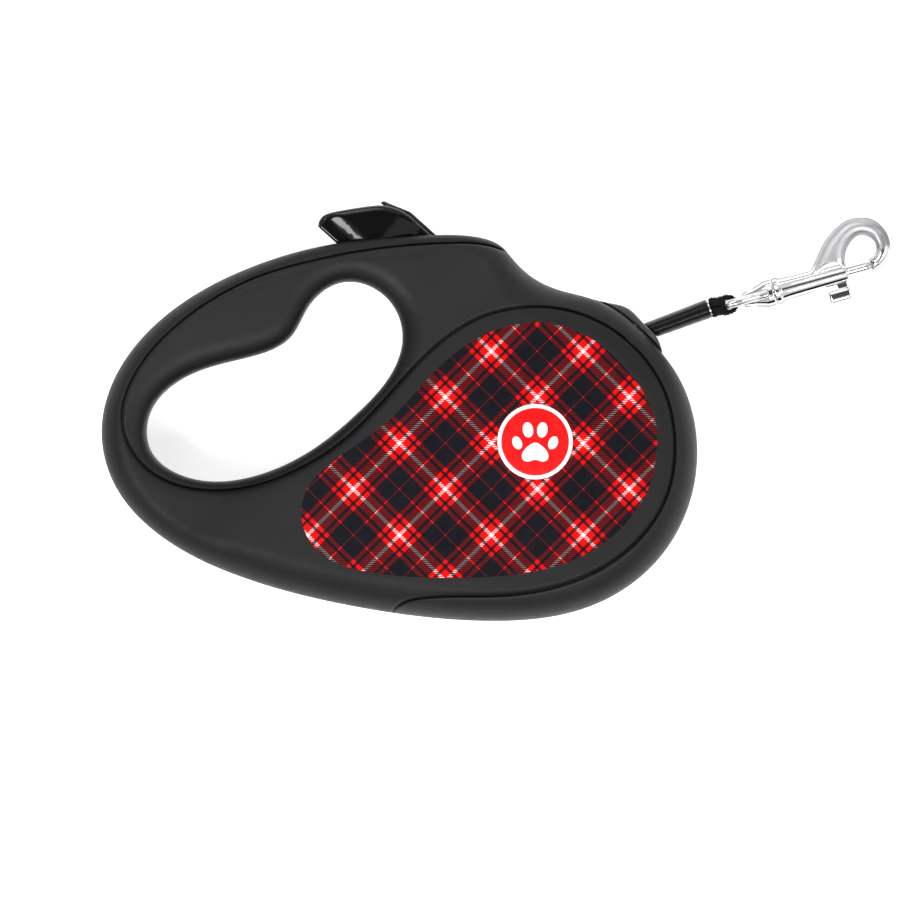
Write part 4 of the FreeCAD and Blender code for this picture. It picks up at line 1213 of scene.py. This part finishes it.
def make_eye():
    """Swivel eye: a bent wire link whose arms run into a tapered, notched body."""
    arm = [(-1.9, 4.0), (-4.5, 4.25), (-7.4, 5.5), (-9.6, 6.35), (-12.2, 6.6), (RING_BAR, 6.15), (-13.45, 5.2)]
    path = arm + [(RING_BAR, 3.0), (RING_BAR, 0.0), (RING_BAR, -3.0)] + [(u, -z) for u, z in reversed(arm)]
    wire = tube([hook_point(u, 0, z) for u, z in spline(path, False, 0.25)], 1.3)
    sections = ((-9.0, 1.2, 1.9), (-8.9, 1.75, 2.5), (-8.5, 2.05, 2.9), (-7.0, 2.35, 3.2), (-5.0, 2.85, 3.5),
                (-3.2, 3.4, 3.7), (-2.4, 3.7, 3.8), (-2.2, 3.72, 3.8), (-0.35, 3.72, 3.8), (-0.22, 3.6, 3.65))
    rings = [[hook_point(u, a, b) for a, b in superellipse(48, half_v, half_z, 2.4)]
             for u, half_v, half_z in sections]
    cutters = [lathe([(-7, 1.5), (1, 1.5)], 32), hook_box(-7.2, -5.6, -2.75, -1.75, 4.6),
               hook_box(-7.2, -5.6, 1.75, 2.75, 4.6)]
    mesh = solid_of([wire, skin(rings)], cutters, EYE_VOXEL, "swivel_link", 4)
    placed("swivel_link", mesh, CHROME, 50, "chrome", "swivel_eye", ["swivel_eye"])


# ---- springs and tape ----------------------------------------------------------------------------
def coil(name, origin, angle, place, ends, radius, wire, turns, body, node):
    """Coil spring along a line, at place (side, z) beside it; place's third value, which of ends stays, is not used.
    """
    side, z, anchor = place
    d = np.append(direction(angle), 0)
    left = np.append(direction(angle + 90), 0)
    base = np.append(on_line(origin, angle, 0, side), z)
    path = []
    steps = int(turns * 18)
    for i in range(steps + 1):
        t = i / steps
        pitch = t + 0.045 * math.sin(2 * math.pi * t)       # closer turns at the ends
        a = 2 * math.pi * turns * t
        u = ends[0] + (ends[1] - ends[0]) * min(max(pitch, 0), 1)
        path.append(base + d * u + radius * (left * math.cos(a) + UP * math.sin(a)))
    spring = mesh_object(name, tube(path, wire, 8), SPRING_STEEL, 50, "spring_steel", body, [node])
    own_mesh(spring)


def make_springs():
    coil("button_return_spring", (0, 0), BUTTON_ANGLE, (15.0, MID_Z - 3.5, 1), (-65.8, -57.2), 1.75,
         0.22, 7, "housing", "button_spring")
    coil("gate_return_spring", HOOK_ORIGIN, HOOK_ANGLE, (0, MID_Z, 0), (6.7, 13.2), 0.95, 0.1, 5,
         "snap_hook", "gate_spring")


TAPE_OUTER_TURN = 37.4
TAPE_HALF, TAPE_HALF_THICK = 5.0, 0.36


def make_tape():
    """The tape from the reel round the guide roller into the sleeve."""
    reach = math.hypot(*TAPE_BEND)
    leave = math.degrees(math.atan2(TAPE_BEND[1], TAPE_BEND[0])) + math.degrees(math.acos(TAPE_OUTER_TURN / reach))
    bend = np.array(TAPE_BEND)
    mouth = on_line(TAPE_BEND, LEASH_ANGLE, 3.0, 0)
    end = on_line(TAPE_BEND, LEASH_ANGLE, 8.4, 0)
    first = chain([direction(leave) * TAPE_OUTER_TURN, bend], 0.6)
    second = chain([on_line(TAPE_BEND, LEASH_ANGLE, 0.3, 0.06), mouth], 0.5)
    line = np.vstack([first[:-1], bend * 0.5 + first[-1] * 0.5, second[:-1],
                      mouth + (end - mouth) * np.linspace(0, 1, 90)[:, None]])
    step = np.gradient(line, axis=0)
    step /= np.linalg.norm(step, axis=1)[:, None]
    across = np.linspace(-TAPE_HALF, TAPE_HALF, 17)
    rings = []
    for p, n in zip(line, np.stack([-step[:, 1], step[:, 0]], 1)):
        ring = []
        for side in (1, -1):
            for z in across[::side]:
                edge = 1 - 0.3 * smooth(abs(z), TAPE_HALF - 0.4, TAPE_HALF)
                q = p + n * side * TAPE_HALF_THICK * edge
                ring.append((q[0], q[1], MID_Z + z))
        rings.append(ring)
    tape = mesh_object("leash_tape", skin(rings), WEBBING, 60, "webbing", None, ["tape_run"])
    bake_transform(tape)


def make_roller_pin():
    """The guide roller's pin, headed over inside the casing."""
    rings = [[(*p, MID_Z + z) for p in circle(ROLLER, r, 28)]
             for z, r in ((-7.3, 0.7), (-7.1, 0.95), (-6.9, 1.0), (6.9, 1.0), (7.1, 0.95), (7.3, 0.7))]
    mesh_object("guide_roller_pin", skin(rings), STEEL, 30, "steel", "housing", ["roller_axle"])


make_shells()
make_button()
make_slider()
make_nozzle()
make_badge()
make_sleeve()
make_loop()
make_hook()
make_gate()
make_eye()
make_springs()
make_tape()
make_roller_pin()

# CAD nodes that keep their shape get their looks here.
CARRIED = {"spool_axle": STEEL, "lever_pin": STEEL, "case_screws": SCREW_STEEL, "spool": SPOOL_PLASTIC,
           "ratchet_flange": SPOOL_PLASTIC, "spring_cover": SPOOL_PLASTIC, "tape_wound": WEBBING,
           "power_spring": SPRING_STEEL, "guide_roller": SPOOL_PLASTIC, "brake_lever": STEEL,
           "swivel_rivet": CHROME}
for node, material in CARRIED.items():
    for place in bpy.data.objects[node].material_slots:
        place.material = material


# ---- stage ---------------------------------------------------------------------------------------
PHOTO_CENTRE = (-0.0252, 0.0034)
CAMERA_DISTANCE = 3.0
VIEW_WIDTH = 0.252
SENSOR = 36.0
FLOOR_REACH, FLOOR_Z = 3.0, -0.0002
WORLD_STRENGTH = 0.95
WORLD_STOPS = ((-1.0, 0.02), (-0.9, 0.02), (-0.82, 1.0), (-0.16, 1.05), (-0.08, 0.11), (0.20, 0.11), (0.27, 1.05),
               (0.75, 0.95), (0.92, 0.45), (1.0, 0.3))
MIDDLE = (-0.03, 0.0, 0.02)
LIGHTS = (("key", (-0.35, 0.75, 1.05), MIDDLE, 0.6, 0.6, 3.6),                 # name, place, target, sizes, watts
          ("fill", (0.85, 0.15, 0.75), MIDDLE, 0.6, 0.6, 2.6),
          ("rim", (0.15, 0.9, 0.35), MIDDLE, 0.7, 0.2, 1.0),
          ("strip", (-0.368, -0.284, 0.9), (-0.054, 0.065, 0.02), 0.5, 0.2, 6.0),
          ("streak", (0.226, -0.456, 0.865), (0.04, 0.04, 0.017), 0.26, 0.12, 2.4))


def make_floor():
    mesh = bpy.data.meshes.new("floor")
    corners = [(x * FLOOR_REACH, y * FLOOR_REACH, FLOOR_Z) for x, y in ((-1, -1), (1, -1), (1, 1), (-1, 1))]
    mesh.from_pydata(corners, [], [(0, 1, 2, 3)])
    pale = Look("floor_pale", (0.80, 0.80, 0.80), 0.7, Specular_IOR_Level=0.2)
    pale.put("Emission Color", (1, 1, 1, 1))
    pale.put("Emission Strength", 0.62)
    mesh.materials.append(pale.material)
    linked("floor", mesh)


def make_world():
    """Pale surroundings with dark strips across the hook's line, for its reflections."""
    world = bpy.data.worlds.new("studio")
    bpy.context.scene.world = world
    world.use_nodes = True
    tree = world.node_tree
    place = tree.nodes.new("ShaderNodeTexCoord")
    across = tree.nodes.new("ShaderNodeVectorMath")
    across.operation = "DOT_PRODUCT"
    side = direction(HOOK_ANGLE + 90)
    across.inputs[1].default_value = (side[0], side[1], 0)
    tree.links.new(place.outputs["Generated"], across.inputs[0])
    lift = tree.nodes.new("ShaderNodeMapRange")
    lift.inputs[1].default_value = -1
    tree.links.new(across.outputs["Value"], lift.inputs[0])
    ramp = tree.nodes.new("ShaderNodeValToRGB")
    colour_stops(ramp, [((at + 1) / 2, (value, value, value, 1)) for at, value in WORLD_STOPS])
    tree.links.new(lift.outputs[0], ramp.inputs[0])
    sky = tree.nodes["Background"]
    tree.links.new(ramp.outputs[0], sky.inputs["Color"])
    sky.inputs["Strength"].default_value = WORLD_STRENGTH


def make_lights():
    for name, place, target, size, size_y, power in LIGHTS:
        light = bpy.data.lights.new(name, "AREA")
        light.energy = power
        light.shape = "RECTANGLE"
        light.size = size
        light.size_y = size_y
        obj = linked(name, light)
        obj.location = place
        obj.rotation_euler = (Vector(target) - Vector(place)).to_track_quat("-Z", "Y").to_euler()


def make_camera():
    camera = bpy.data.cameras.new("camera")
    camera.sensor_width = SENSOR
    camera.lens = SENSOR * CAMERA_DISTANCE / VIEW_WIDTH
    camera.clip_end = 20.0
    obj = linked("camera", camera)
    obj.location = (*PHOTO_CENTRE, CAMERA_DISTANCE + MID_Z * MM)
    bpy.context.scene.camera = obj


make_floor()
make_world()
make_lights()
bpy.context.scene.view_settings.view_transform = "Standard"
make_camera()
